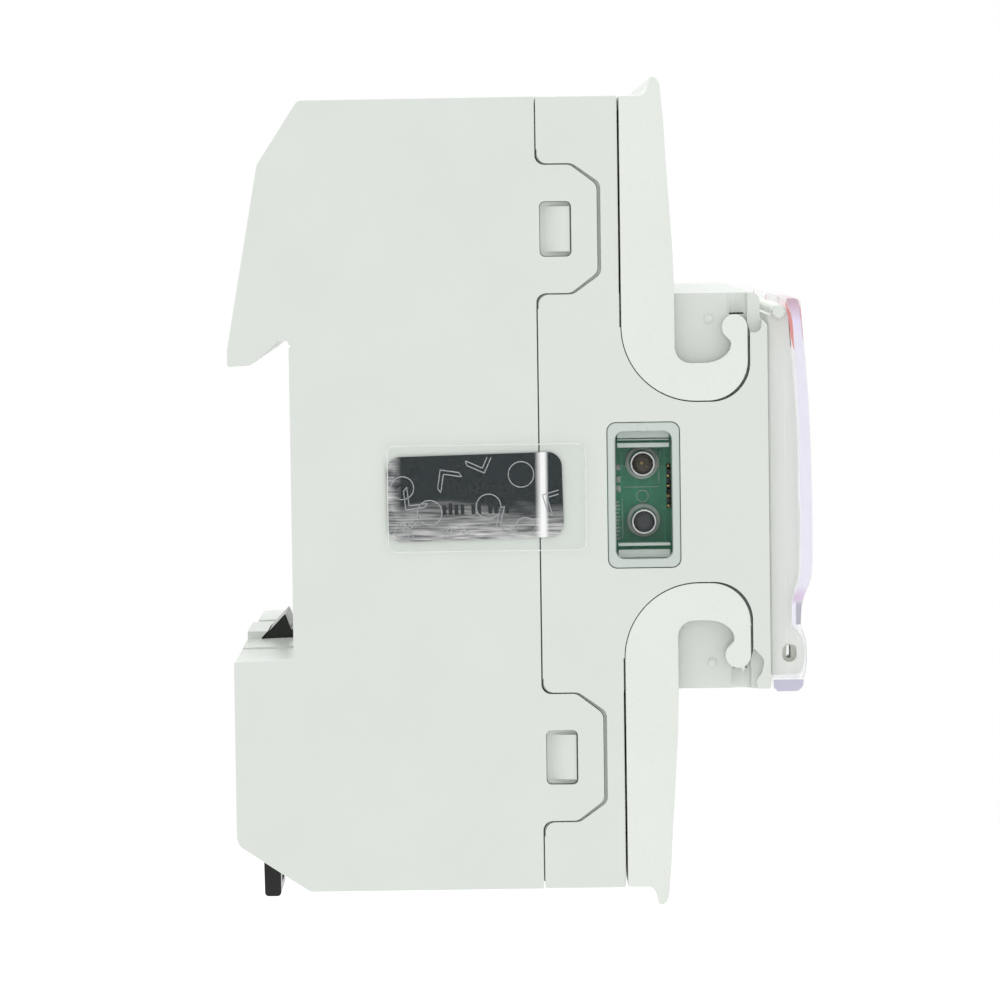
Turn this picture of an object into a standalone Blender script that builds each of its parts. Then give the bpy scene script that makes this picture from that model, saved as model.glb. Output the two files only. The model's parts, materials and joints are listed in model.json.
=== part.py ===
"""A four-module electricity meter that clips onto a 35 mm DIN rail.

Metres, +Z up. The front faces -Y and the width runs along X. The origin is the middle of the
flat back wall that rests on the rail. Sizes below are in millimetres. An outline seen from the
side is a list of (depth, height) points, where depth is the distance forward of the rail, so a
point at depth d has y = -d.
"""

import math

import bmesh
import bpy
from mathutils import Matrix, Vector

MM = 0.001

# Whole meter
WIDTH = 72.0
HEIGHT = 90.0
SIDE = WIDTH / 2
TOP = HEIGHT / 2
GAP = 0.3
WALL = 2.0

# Planes from back to front
COVER_SEAM = 28.1
SHELF = 37.45
COVER_BACK = SHELF + GAP
BLOCK_FRONT = 54.2
FACEPLATE_BACK = BLOCK_FRONT + GAP
FACEPLATE_FRONT = 56.2
BLOCK_TOP = 22.5

# Rail slot and the clip that closes it
SLOT_TOP = 17.75
SLOT_BOTTOM = -18.75
SLOT_RELIEF = (16.85, 17.3)
FOOT_BACK = -6.8
CLIP_HALF_WIDTH = 6.0
CLIP_TAIL_END = -49.6
CLIP_SHOULDER = -20.4
SPRING_FOOT = -29.2
SPRING_DEPTH = -1.35
SPRING_RADIUS = 1.05
SPRING_TURNS = 5
SPRING_WIRE = 0.35

# Snap tabs that lock the front cover onto the base
TAB_HEIGHT = 30.0
TAB_FACE = SIDE - 1.6
TAB_FLOOR = SIDE - 1.9
TAB_WINDOW_DEPTH = 30.35

# Hinged terminal covers
COVER_PIVOT = (50.5, 18.6)
ARM_INNER_FACE = SIDE - 1.8
POCKET_FLOOR = SIDE - 2.0
PIVOT_PIN_RADIUS = 1.0
PIVOT_HOLE_RADIUS = 1.15

# Clear front flap
FLAP_PIVOT = (55.5, 20.3)
FLAP_SIDE = SIDE - 0.3
FLAP_INNER_SIDE = SIDE - 1.6
FACEPLATE_SIDE = SIDE - 2.1
FLAP_PIN_RADIUS = 0.7
FLAP_HOLE_RADIUS = 0.95
SEAL_HOLE = (56.4, -18.6)
SEAL_HOLE_SIZE = (1.66, 2.1)

# Display and buttons
DISPLAY_HALF_WIDTH = 21.0
DISPLAY_LOW = 1.0
DISPLAY_HIGH = 14.5
BUTTON_SPREAD = 12.0
BUTTON_HEIGHT = -6.0
BUTTON_FRONT = 56.75

# Infrared port in the left side
PORT_CENTRE = (40.0, -0.25)
PORT_SIZE = (8.2, 16.5)
PORT_BOARD_FACE = -30.2

# Main terminals
TERMINAL_X = (-25.5, -8.5, 8.5, 25.5)
PARTITION_X = (-17.0, 0.0, 17.0)
TERMINAL_Z = 36.5
LINE_NAMES = ("l1", "l2", "l3", "neutral")
BAR_DEPTH = 21.6
BAR_SIZE = (8.0, 2.0)
BAR_END = 41.0
CAGE_HALF_WIDTH = 5.0
CAGE_BACK = 12.2
CAGE_FRONT = 26.0
CAGE_HALF_HEIGHT = 5.0
SCREW_TIP = 22.9
SCREW_SHOULDER = 31.5
SCREW_TOP = 34.4
SCREW_RADIUS = 2.4
SCREW_HEAD_RADIUS = 3.6
SCREW_HOLE_RADIUS = 3.9
WIRE_DEPTHS = (13.4, 20.4)

# Small data terminals under the lower cover
DATA_X = (-7.5, -2.5, 2.5, 7.5)
DATA_SCREW_Z = -26.2

# Circuit boards
METERING_BOARD = (31.0, 32.6)
DISPLAY_BOARD = (45.8, 47.4)

OBJECT_NAME = "din_rail_electricity_meter"

# The axes of a flat outline's own plane: its first and second coordinates, then its thickness
PLANES = {
    "side": Matrix(((0, 0, -1), (-1, 0, 0), (0, 1, 0))),
    "front": Matrix(((1, 0, 0), (0, 0, -1), (0, 1, 0))),
    "top": Matrix(((1, 0, 0), (0, -1, 0), (0, 0, -1))),
}
THICKNESS_AXES = {"side": Vector((1, 0, 0)), "front": Vector((0, -1, 0)), "top": Vector((0, 0, 1))}


# ---------------------------------------------------------------- scene and materials


def clear_scene():
    for old in list(bpy.data.objects):
        bpy.data.objects.remove(old)


def new_collection(name):
    collection = bpy.data.collections.new(name)
    bpy.context.scene.collection.children.link(collection)
    return collection


def material(name, colour, roughness, metallic=0.0, transmission=0.0):
    made = bpy.data.materials.new(name)
    made.use_nodes = True
    made.diffuse_color = (*colour, 1)
    shader = made.node_tree.nodes["Principled BSDF"]
    shader.inputs["Base Color"].default_value = (*colour, 1)
    shader.inputs["Roughness"].default_value = roughness
    shader.inputs["Metallic"].default_value = metallic
    shader.inputs["Transmission Weight"].default_value = transmission
    return made


# ---------------------------------------------------------------- shapes


def point(x, depth, z):
    """A place in the meter's frame, from millimetres."""
    return Vector((x, -depth, z)) * MM


def arc(centre, radius, start, end, steps=6):
    """Points on a circle from start to end degrees, both included."""
    turns = [math.radians(start + (end - start) * i / steps) for i in range(steps + 1)]
    return [(centre[0] + radius * math.cos(a), centre[1] + radius * math.sin(a)) for a in turns]


def rounded_rectangle(centre, size, radius, steps=4):
    across, up = size[0] / 2 - radius, size[1] / 2 - radius
    outline = []
    for quarter, (right, high) in enumerate(((1, 1), (-1, 1), (-1, -1), (1, -1))):
        corner = (centre[0] + right * across, centre[1] + high * up)
        outline += arc(corner, radius, 90 * quarter, 90 * quarter + 90, steps)
    return outline


def flipped(outline):
    """The outline upside down."""
    return [(depth, -z) for depth, z in reversed(outline)]


def linked(name, mesh):
    made = bpy.data.objects.new(name, mesh)
    bpy.context.scene.collection.objects.link(made)
    return made


def meshed(curve_object, name):
    """The curve as a mesh whose caps are welded to its sides. The curve is removed."""
    bpy.context.view_layer.update()
    graph = bpy.context.evaluated_depsgraph_get()
    mesh = bpy.data.meshes.new_from_object(curve_object.evaluated_get(graph))
    mesh.transform(curve_object.matrix_world)
    bm = bmesh.new()
    bm.from_mesh(mesh)
    bmesh.ops.remove_doubles(bm, verts=bm.verts, dist=1e-6)
    bmesh.ops.dissolve_limit(bm, angle_limit=0.005, verts=bm.verts, edges=bm.edges)
    bmesh.ops.recalc_face_normals(bm, faces=bm.faces)
    bm.to_mesh(mesh)
    bm.free()
    mesh.name = name
    bpy.data.objects.remove(curve_object)
    return linked(name, mesh)


def prism(name, outline, plane, low, high):
    """A flat outline given a thickness: from low to high along x, depth or z."""
    curve = bpy.data.curves.new(name, "CURVE")
    curve.dimensions = "2D"
    curve.fill_mode = "BOTH"
    curve.extrude = (high - low) / 2 * MM
    spline = curve.splines.new("POLY")
    spline.points.add(len(outline) - 1)
    for spline_point, (across, up) in zip(spline.points, outline):
        spline_point.co = (across * MM, up * MM, 0, 1)
    spline.use_cyclic_u = True
    flat = linked(name + "_outline", curve)
    middle = THICKNESS_AXES[plane] * ((low + high) / 2 * MM)
    flat.matrix_world = Matrix.Translation(middle) @ PLANES[plane].to_4x4()
    return meshed(flat, name)


def box(name, xs, depths, zs):
    """A box between two values of x, of depth and of z."""
    bm = bmesh.new()
    bmesh.ops.create_cube(bm, size=1)
    size = Vector((xs[1] - xs[0], depths[1] - depths[0], zs[1] - zs[0])) * MM
    bmesh.ops.scale(bm, vec=size, verts=bm.verts)
    middle = point(sum(xs) / 2, sum(depths) / 2, sum(zs) / 2)
    bmesh.ops.translate(bm, vec=middle, verts=bm.verts)
    mesh = bpy.data.meshes.new(name)
    bm.to_mesh(mesh)
    bm.free()
    return linked(name, mesh)


def rod(name, axis, along, centre, radius, sides=16):
    """A cylinder along "x", "depth" or "z" between two values; centre is its other two values."""
    low, high = along
    bm = bmesh.new()
    bmesh.ops.create_cone(
        bm, cap_ends=True, segments=sides, radius1=radius * MM, radius2=radius * MM,
        depth=(high - low) * MM,
    )
    if axis == "x":
        turn = Matrix.Rotation(math.pi / 2, 4, "Y")
        middle = point((low + high) / 2, *centre)
    elif axis == "depth":
        turn = Matrix.Rotation(math.pi / 2, 4, "X")
        middle = point(centre[0], (low + high) / 2, centre[1])
    else:
        turn = Matrix.Identity(4)
        middle = point(*centre, (low + high) / 2)
    bmesh.ops.transform(bm, matrix=Matrix.Translation(middle) @ turn, verts=bm.verts)
    mesh = bpy.data.meshes.new(name)
    bm.to_mesh(mesh)
    bm.free()
    return linked(name, mesh)


def turned(name, profile, place, direction, steps=16, ring=False):
    """A turned piece at place, its axis along direction. The profile runs from the end that direction
    points to down to the other end, as (radius, distance along) points. A ring's profile is closed."""
    mesh = bpy.data.meshes.new(name)
    corners = [(radius * MM, 0, along * MM) for radius, along in profile]
    edges = [(i, i + 1) for i in range(len(corners) - 1)]
    if ring:
        edges.append((len(corners) - 1, 0))
    mesh.from_pydata(corners, edges, [])
    made = linked(name, mesh)
    made.location = place
    made.rotation_euler = Vector(direction).to_track_quat("Z", "Y").to_euler()
    screw = made.modifiers.new("Turn", "SCREW")
    screw.steps = steps
    screw.render_steps = steps
    screw.use_merge_vertices = True
    screw.merge_threshold = 1e-6
    screw.use_smooth_shade = True
    return made


def helper(other):
    """Puts a cutter or a joined shape away, so that only the result shows."""
    other.hide_render = True
    other.display_type = "WIRE"
    for collection in list(other.users_collection):
        collection.objects.unlink(other)
    cutters.objects.link(other)


def combine(target, other, operation):
    modifier = target.modifiers.new(operation.title(), "BOOLEAN")
    modifier.operation = operation
    modifier.solver = "EXACT"
    modifier.object = other
    helper(other)


def cut(target, *others):
    for other in others:
        combine(target, other, "DIFFERENCE")


def join(target, *others):
    for other in others:
        combine(target, other, "UNION")


def bevel(target, width, segments=1):
    modifier = target.modifiers.new("Rounded edges", "BEVEL")
    modifier.width = width * MM
    modifier.segments = segments
    modifier.limit_method = "ANGLE"
    modifier.angle_limit = math.radians(40)


def smooth(target):
    target.data.shade_smooth()
    target.data.set_sharp_from_angle(angle=math.radians(35))


def set_origin(target, place):
    """Moves the origin to place, on a joint's axis, and leaves the shape where it is."""
    target.data.transform(Matrix.Translation(-place))
    target.location = place


def finished(target, look, place=None):
    """Files a sub-part under the meter with its material, and with its origin at place."""
    target.data.materials.clear()
    target.data.materials.append(look)
    if place is not None:
        set_origin(target, place)
    for collection in list(target.users_collection):
        collection.objects.unlink(target)
    parts.objects.link(target)
    target.parent = meter
    return target


def both_sides(low, high):
    """The same stretch of x on the left and on the right side."""
    return ((-high, -low), (low, high))


# ---------------------------------------------------------------- housing


def base_outline():
    front = COVER_SEAM - GAP / 2
    return [
        (front, TOP), (1.4, TOP - 0.1), (-3.3, 37.7), (-7.0, 16.8), (-7.0, 14.9),
        (-4.4, 15.05), (-1.15, SLOT_TOP), (0, SLOT_TOP), (0, SLOT_BOTTOM),
        (FOOT_BACK, -19.0), (FOOT_BACK, -39.5), (1.5, -TOP), (front, -TOP),
    ]


def tab_outline(height, spread=0.0):
    """A snap tab's outline about its middle height, grown on every side by spread."""
    half, tip, nose = 7.4 + spread, 4.7 + spread, 35.3 + spread
    return [
        (COVER_SEAM - 1.5, height - half), (32.1, height - half), (nose, height - tip),
        (nose, height + tip), (32.1, height + half), (COVER_SEAM - 1.5, height + half),
    ]


def make_base_housing():
    shell = prism("base_housing", base_outline(), "side", -SIDE, SIDE)
    bevel(shell, 0.4)
    inside = SIDE - WALL
    cut(shell, box("base_cavity", (-inside, inside), (WALL, 30), (-TOP + WALL, TOP - WALL)))
    for side in (1, -1):
        for x in PARTITION_X:
            reach = sorted((side * 30, side * (TOP - 1)))
            join(shell, box("partition", (x - 0.7, x + 0.7), (WALL - 1, 27.6), reach))
        for x in TERMINAL_X:
            through = sorted((side * (TOP - 3), side * (TOP + 1)))
            cut(shell, box("wire_entry", (x - 4.5, x + 4.5), WIRE_DEPTHS, through))
        window = rounded_rectangle((TAB_WINDOW_DEPTH, side * TAB_HEIGHT), (3.5, 6.1), 0.5, 2)
        for low, high in both_sides(TAB_FACE, SIDE - 0.02):
            join(shell, prism("tab", tab_outline(side * TAB_HEIGHT), "side", low, high))
        for low, high in both_sides(TAB_FACE - 0.2, SIDE + 0.5):
            cut(shell, prism("tab_window", window, "side", low, high))
    cut(shell, box("slot_relief", (-SIDE - 1, SIDE + 1), (-0.3, 0.2), SLOT_RELIEF))
    cut_clip_channel(shell)
    return finished(shell, body_plastic)


def cut_clip_channel(shell):
    """The guide for the rail clip, with room above for its jaw and a pocket for its spring."""
    reach = CLIP_HALF_WIDTH + 0.35
    cut(
        shell,
        box("jaw_room", (-reach, reach), (-5.65, 0.1), (-25.0, -18.0)),
        box("tail_guide", (-reach, reach), (-5.65, -2.85), (-46.0, -24.5)),
        box("spring_pocket", (-1.9, 1.9), (-3.0, 0.3), (SPRING_FOOT - 0.3, -24.5)),
    )


def cover_shell_outline(inset, back):
    """The stepped side view of the front cover, drawn in by inset."""
    shelf, front = SHELF - inset, BLOCK_FRONT - inset
    top, block = TOP - inset, BLOCK_TOP - inset
    return [
        (back, top), (shelf, top), (shelf, block), (front, block),
        (front, -block), (shelf, -block), (shelf, -top), (back, -top),
    ]


def arm_pocket_outline():
    """The pocket in which a terminal cover's upper hinge arm lies and swings."""
    return (
        [(SHELF, 23.5), (SHELF, 18.8)]
        + arc((SHELF + 8.7, 18.8), 8.7, 180, 270)
        + arc((47.4, 14.9), 4.85, 270, 360)
        + [(52.25, 19.6), (51.75, 20.4), (51.75, 23.5)]
    )


def upper_notch_outline():
    """The U-shaped notch in front of the upper hinge."""
    return [(51.7, 23.5)] + arc((52.68, 18.85), 0.87, 180, 360) + [(53.55, 23.5)]


def lower_notch_outline():
    """The waisted notch in front of the lower hinge."""
    return [
        (51.7, -17.9), (52.4, -17.95), (53.1, -18.5), (53.5, -19.5), (53.35, -20.4),
        (52.7, -21.3), (52.55, -21.9), (52.9, -23.5), (51.7, -23.5),
    ]


def cut_side_pockets(shell):
    """What is let into both side faces of the block: arm pockets, notches and pivot holes."""
    pockets = (arm_pocket_outline(), flipped(arm_pocket_outline()))
    notches = (upper_notch_outline(), lower_notch_outline())
    for low, high in both_sides(POCKET_FLOOR, SIDE + 0.5):
        cut(shell, *[prism("arm_pocket", outline, "side", low, high) for outline in pockets])
    for low, high in both_sides(SIDE - 1.2, SIDE + 0.5):
        cut(shell, *[prism("notch", outline, "side", low, high) for outline in notches])
    depth, height = COVER_PIVOT
    for reach in both_sides(SIDE - 4.5, SIDE + 0.5):
        for z in (height, -height):
            cut(shell, rod("pivot_hole", "x", reach, (depth, z), PIVOT_HOLE_RADIUS))


def add_snap_lugs(shell):
    """The sunk seats of the base's snap tabs, each with the ramped lug that its tab hooks over."""
    for side in (-1, 1):
        for height in (TAB_HEIGHT, -TAB_HEIGHT):
            low, high = sorted((side * TAB_FLOOR, side * (SIDE + 0.5)))
            cut(shell, prism("tab_seat", tab_outline(height, 0.35), "side", low, high))
            ramp = [
                (side * (TAB_FLOOR - 0.4), 29.2), (side * TAB_FLOOR, 29.2), (side * (SIDE - 0.4), 30.9),
                (side * (SIDE - 0.4), 31.9), (side * (TAB_FLOOR - 0.4), 31.9),
            ]
            join(shell, prism("snap_lug", ramp, "top", height - 2.5, height + 2.5))


def add_screw_wells(shell):
    """A collar round each terminal screw's head, open through the shelf to the screwdriver."""
    for z in (TERMINAL_Z, -TERMINAL_Z):
        for x in TERMINAL_X:
            collar = (SCREW_SHOULDER - 0.2, SHELF - 1)
            join(shell, rod("collar", "depth", collar, (x, z), SCREW_HOLE_RADIUS + 1.1))
            well = (SCREW_SHOULDER - 1, SHELF + 1)
            cut(shell, rod("screw_well", "depth", well, (x, z), SCREW_HOLE_RADIUS))


def make_front_cover():
    shell = prism("front_cover", cover_shell_outline(0, COVER_SEAM + GAP / 2), "side", -SIDE, SIDE)
    bevel(shell, 0.4)
    inside = SIDE - 3.6
    cut(shell, prism("cover_cavity", cover_shell_outline(WALL, COVER_SEAM - 2), "side", -inside, inside))
    add_snap_lugs(shell)
    add_screw_wells(shell)
    cut_side_pockets(shell)
    hollow = (BLOCK_FRONT - 3, BLOCK_FRONT + 1)
    cut(
        shell,
        box("flap_clearance", (-SIDE - 1, SIDE + 1), (BLOCK_FRONT - 0.8, 56), (18.8, 24)),
        prism(
            "port_opening", rounded_rectangle(PORT_CENTRE, (PORT_SIZE[0] + 0.3, PORT_SIZE[1] + 0.3), 1.1),
            "side", -SIDE - 1, -SIDE + 5,
        ),
        box(
            "display_opening", (-DISPLAY_HALF_WIDTH, DISPLAY_HALF_WIDTH), hollow,
            (DISPLAY_LOW, DISPLAY_HIGH),
        ),
        rod("lamp_hole", "depth", hollow, (0, BUTTON_HEIGHT), 1.5),
        box("data_opening", (-10.3, 10.3), (SHELF - 3, SHELF + 1), (-31.3, -23.3)),
    )
    for x in (-BUTTON_SPREAD, BUTTON_SPREAD):
        cut(shell, rod("stem_hole", "depth", hollow, (x, BUTTON_HEIGHT), 1.6))
    return finished(shell, body_plastic)


# ---------------------------------------------------------------- hinged covers


def terminal_cover_outline():
    """The upper cover from the side: plate, finger lip and the hooked arm down to its pivot."""
    lip = [(40.2, 44.8), (40.6, 45.1), (40.9, 45.7), (41.0, 46.5), (41.4, 47.0), (42.0, 46.75)]
    plate = [(42.3, 46.2), (42.5, 45.0), (42.9, 37.6), (43.2, 33.0), (43.55, 27.4), (43.7, 22.8)]
    crook = arc((45.55, 16.45), 1.85, 180, 270, 4)
    neck = [(47.4, 14.6), (48.7, 14.9), (49.6, 15.6), (50.0, 16.3), (50.1, 16.9), (49.8, 17.4)]
    bulb = arc(COVER_PIVOT, 1.45, 205, 0, 10)
    heel = arc((47.4, 14.9), 4.55, 0, -90) + arc((COVER_BACK + 8.4, 18.75), 8.4, -90, -180)
    return [(COVER_BACK, 44.8)] + lip + plate + crook + neck + bulb + heel


def terminal_cover_hollow():
    """What is taken out between the cover's side walls, so that only a plate and two arms stay."""
    return [
        (36.5, 43.2), (40.6, 43.2), (41.0, 37.6), (41.4, 30.0), (41.6, BLOCK_TOP + GAP),
        (53.5, BLOCK_TOP + GAP), (53.5, 9.0), (36.5, 9.0),
    ]


def make_terminal_cover(name, upside_down):
    turn = flipped if upside_down else list
    depth, height = COVER_PIVOT
    height = -height if upside_down else height
    cover = prism(name, turn(terminal_cover_outline()), "side", -SIDE, SIDE)
    hollow = turn(terminal_cover_hollow())
    cut(cover, prism("cover_hollow", hollow, "side", -ARM_INNER_FACE, ARM_INNER_FACE))
    for reach in both_sides(ARM_INNER_FACE - 1.2, ARM_INNER_FACE + 0.6):
        join(cover, rod("pivot_pin", "x", reach, (depth, height), PIVOT_PIN_RADIUS))
    smooth(cover)
    return finished(cover, cover_plastic, point(0, depth, height))


def flap_outline():
    """The clear flap from the side, from its hinge ear down the front and back up."""
    return (
        [(54.4, 18.95)]
        + arc(FLAP_PIVOT, 1.7, 230, 90)
        + arc((57.2, 21.2), 0.8, 90, 0, 4)
        + [(58.3, 17.0), (58.5, 14.7), (58.8, 10.1), (59.0, 4.4), (59.1, -1.0), (59.1, -7.0)]
        + [(59.0, -9.8), (57.95, -12.6), (57.7, -15.1), (58.3, -17.7), (58.2, -20.5)]
        + arc((56.9, -21.9), 1.0, 0, -90, 4)
        + [(54.9, -22.9), (54.4, -22.4)]
    )


def flap_hollow():
    """The space inside the flap, which the faceplate fills."""
    return [
        (52.0, -21.5), (57.5, -21.5), (57.5, -16.7), (56.8, -15.4), (56.8, -12.9), (57.7, -9.6),
        (57.75, -4.0), (57.6, 4.4), (57.4, 10.1), (57.1, 14.7), (56.85, 19.5), (56.3, 21.2),
        (55.75, 21.2), (55.75, 24.0), (52.0, 24.0),
    ]


def seal_hole(reach):
    outline = rounded_rectangle(SEAL_HOLE, SEAL_HOLE_SIZE, SEAL_HOLE_SIZE[0] / 2 - 0.01, 3)
    return prism("seal_hole", outline, "side", *reach)


def make_front_flap():
    flap = prism("front_flap", flap_outline(), "side", -FLAP_SIDE, FLAP_SIDE)
    cut(flap, prism("flap_hollow", flap_hollow(), "side", -FLAP_INNER_SIDE, FLAP_INNER_SIDE))
    for reach in both_sides(FLAP_INNER_SIDE - 1, SIDE + 1):
        cut(flap, rod("ear_hole", "x", reach, FLAP_PIVOT, FLAP_HOLE_RADIUS), seal_hole(reach))
    smooth(flap)
    return finished(flap, clear_plastic, point(0, *FLAP_PIVOT))


# ---------------------------------------------------------------- front


def make_faceplate():
    outline = (
        [(FACEPLATE_BACK, -21.2), (FACEPLATE_FRONT, -21.2)]
        + arc(FLAP_PIVOT, 0.8, -22, 202, 8)
        + [(FACEPLATE_BACK, 20.0)]
    )
    plate = prism("faceplate", outline, "side", -FACEPLATE_SIDE, FACEPLATE_SIDE)
    for low, high in both_sides(FACEPLATE_SIDE - 5.4, FACEPLATE_SIDE - 0.1):
        join(plate, box("seal_lug", (low, high), (FACEPLATE_FRONT - 1, 57.2), (-21.1, -17.0)))
        cut(plate, seal_hole((low - 1, high + 1)))
    for reach in both_sides(FACEPLATE_SIDE - 1, FLAP_SIDE):
        join(plate, rod("flap_pin", "x", reach, FLAP_PIVOT, FLAP_PIN_RADIUS))
    deep = (FACEPLATE_BACK - 1, FACEPLATE_FRONT + 1)
    wide = DISPLAY_HALF_WIDTH
    cut(
        plate,
        box("display_opening", (-wide, wide), deep, (DISPLAY_LOW, DISPLAY_HIGH)),
        box(
            "window_seat", (-wide - 1.5, wide + 1.5), (FACEPLATE_FRONT - 0.9, FACEPLATE_FRONT + 1),
            (DISPLAY_LOW - 1.5, DISPLAY_HIGH + 1.5),
        ),
        rod("lamp_hole", "depth", deep, (0, BUTTON_HEIGHT), 1.5),
    )
    for x in (-BUTTON_SPREAD, BUTTON_SPREAD):
        cut(plate, rod("button_hole", "depth", deep, (x, BUTTON_HEIGHT), 2.6))
    return finished(plate, faceplate_plastic)


def make_front_label():
    """The printed film on the faceplate, open over the display, the buttons and the lamp."""
    film = (FACEPLATE_FRONT + 0.15, FACEPLATE_FRONT + 0.3)
    outline = rounded_rectangle((0, 2.05), (66, 35.1), 1.0, 2)
    label = prism("front_label", outline, "front", *film)
    through = (film[0] - 0.5, film[1] + 0.5)
    opening = rounded_rectangle((0, 7.75), (2 * DISPLAY_HALF_WIDTH, 13.5), 0.8, 2)
    cut(
        label,
        prism("display_opening", opening, "front", *through),
        rod("lamp_hole", "depth", through, (0, BUTTON_HEIGHT), 1.5),
    )
    for x in (-BUTTON_SPREAD, BUTTON_SPREAD):
        cut(label, rod("button_hole", "depth", through, (x, BUTTON_HEIGHT), 2.6))
    return finished(label, printed_film)


def make_display():
    wide = DISPLAY_HALF_WIDTH
    window = box(
        "display_window", (-wide - 1.2, wide + 1.2), (FACEPLATE_FRONT - 0.6, FACEPLATE_FRONT),
        (DISPLAY_LOW - 1.2, DISPLAY_HIGH + 1.2),
    )
    finished(window, clear_plastic)
    panel = box("lcd_panel", (-wide + 0.2, wide - 0.2), (50.3, 52.0), (DISPLAY_LOW - 1, DISPLAY_HIGH + 0.7))
    finished(panel, lcd_glass)
    holder = box("lcd_holder", (-wide - 0.5, wide + 0.5), (47.7, 50.0), (DISPLAY_LOW - 2, DISPLAY_HIGH + 2))
    finished(holder, white_plastic)


def make_scroll_button(name, x):
    """A cap with a stem, and a disc behind the front wall that keeps the button in its hole."""
    cap = rod(name, "depth", (54.7, BUTTON_FRONT), (x, BUTTON_HEIGHT), 2.3)
    bevel(cap, 0.25)
    join(
        cap,
        rod("stem", "depth", (49.2, 55.2), (x, BUTTON_HEIGHT), 1.3, 12),
        rod("keeper", "depth", (51.2, 52.0), (x, BUTTON_HEIGHT), 2.2, 12),
    )
    smooth(cap)
    return finished(cap, button_plastic, point(x, BUTTON_FRONT, BUTTON_HEIGHT))


def make_pulse_lamp_lens():
    profile = [(0, 0.3), (0.7, 0.2), (1.1, -0.1), (1.2, -0.5), (1.2, -8.2), (0, -8.2)]
    lens = turned("pulse_lamp_lens", profile, point(0, FACEPLATE_FRONT + 0.3, BUTTON_HEIGHT), (0, -1, 0), 12)
    return finished(lens, red_plastic)


# ---------------------------------------------------------------- side window, labels


def make_optical_window():
    window = prism("optical_window", rounded_rectangle(PORT_CENTRE, PORT_SIZE, 1.0), "side", -SIDE, -SIDE + 1.1)
    return finished(window, clear_plastic)


def make_side_labels():
    foil = rounded_rectangle((20.85, -0.2), (20, 10), 1.7)
    finished(prism("calibration_label", foil, "side", -SIDE - 0.3, -SIDE - 0.15), metal_foil)
    film = rounded_rectangle((22.2, -0.3), (22.6, 12.2), 0.9, 3)
    finished(prism("label_overlay", film, "side", -SIDE - 0.6, -SIDE - 0.45), clear_plastic)


def make_infrared_diode(name, depth, z, look):
    """A 3 mm diode that looks out of the left side, with its flange on the board."""
    profile = [(0, 4.1), (0.6, 4.0), (1.15, 3.6), (1.5, 2.7), (1.5, 1.0), (1.9, 1.0), (1.9, 0), (0, 0)]
    diode = turned(name, profile, point(PORT_BOARD_FACE - 0.1, depth, z), (-1, 0, 0))
    return finished(diode, look)


def make_optical_board():
    board = box("optical_board", (PORT_BOARD_FACE + 0.1, PORT_BOARD_FACE + 1.7), (33.2, 45.4), (-9.8, 9.8))
    finished(board, board_green)
    make_infrared_diode("infrared_emitter", 39.95, 3.2, diode_clear)
    make_infrared_diode("infrared_receiver", 40.05, -3.4, diode_dark)


# ---------------------------------------------------------------- electronics


def make_metering_board():
    board = box("metering_board", (-31.8, 31.8), METERING_BOARD, (-20, 20))
    lump = (METERING_BOARD[1] - 0.3, METERING_BOARD[1] + 1.6)
    join(
        board,
        box("metering_chip", (12, 19), lump, (-12, -5)),
        box("processor", (-24, -16), lump, (-6, 2)),
    )
    return finished(board, board_green)


def make_display_board():
    board = box("display_board", (-31, 31), DISPLAY_BOARD, (-18, 19))
    for x in (-BUTTON_SPREAD, BUTTON_SPREAD):
        switch = (DISPLAY_BOARD[1] - 0.3, 48.6)
        join(board, box("button_switch", (x - 3, x + 3), switch, (BUTTON_HEIGHT - 3, BUTTON_HEIGHT + 3)))
    return finished(board, board_green)


def make_power_supply():
    """The small transformer and the smoothing capacitor that feed the boards."""
    front = METERING_BOARD[1] + GAP
    core = box("supply_transformer", (-12, 6), (front + 1.5, front + 12), (-7, 9))
    bevel(core, 0.5)
    join(
        core,
        box("bobbin", (-9, 3), (front, front + 11), (-9, 11)),
    )
    finished(core, ferrite)
    profile = [(0, 12.0), (4.6, 12.0), (5.0, 11.6), (5.0, 1.4), (4.7, 1.1), (5.0, 0.8), (5.0, 0.3), (4.7, 0), (0, 0)]
    capacitor = turned("smoothing_capacitor", profile, point(16, front, 9), (0, -1, 0))
    finished(capacitor, dark_sleeve)
    pins = box("board_connector", (24, 29), (front, DISPLAY_BOARD[0] - GAP), (-12, 12))
    finished(pins, dark_plastic)


def make_conductors():
    """A straight bar for each line, from its upper to its lower terminal. The three live bars each
    pass through a current transformer."""
    half_width, half_thickness = BAR_SIZE[0] / 2, BAR_SIZE[1] / 2
    section = [(7.6, 4.5), (8.0, 4.1), (8.0, -4.1), (7.6, -4.5), (4.6, -4.5), (4.6, 4.5)]
    for line, x in zip(LINE_NAMES, TERMINAL_X):
        depths = (BAR_DEPTH - half_thickness, BAR_DEPTH + half_thickness)
        bar = box(f"conductor_{line}", (x - half_width, x + half_width), depths, (-BAR_END, BAR_END))
        finished(bar, copper)
        if line == "neutral":
            continue
        name = f"current_transformer_{line}"
        transformer = turned(name, section, point(x, BAR_DEPTH, 0), (0, 0, 1), ring=True)
        finished(transformer, blue_coating)


# ---------------------------------------------------------------- terminals


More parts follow.
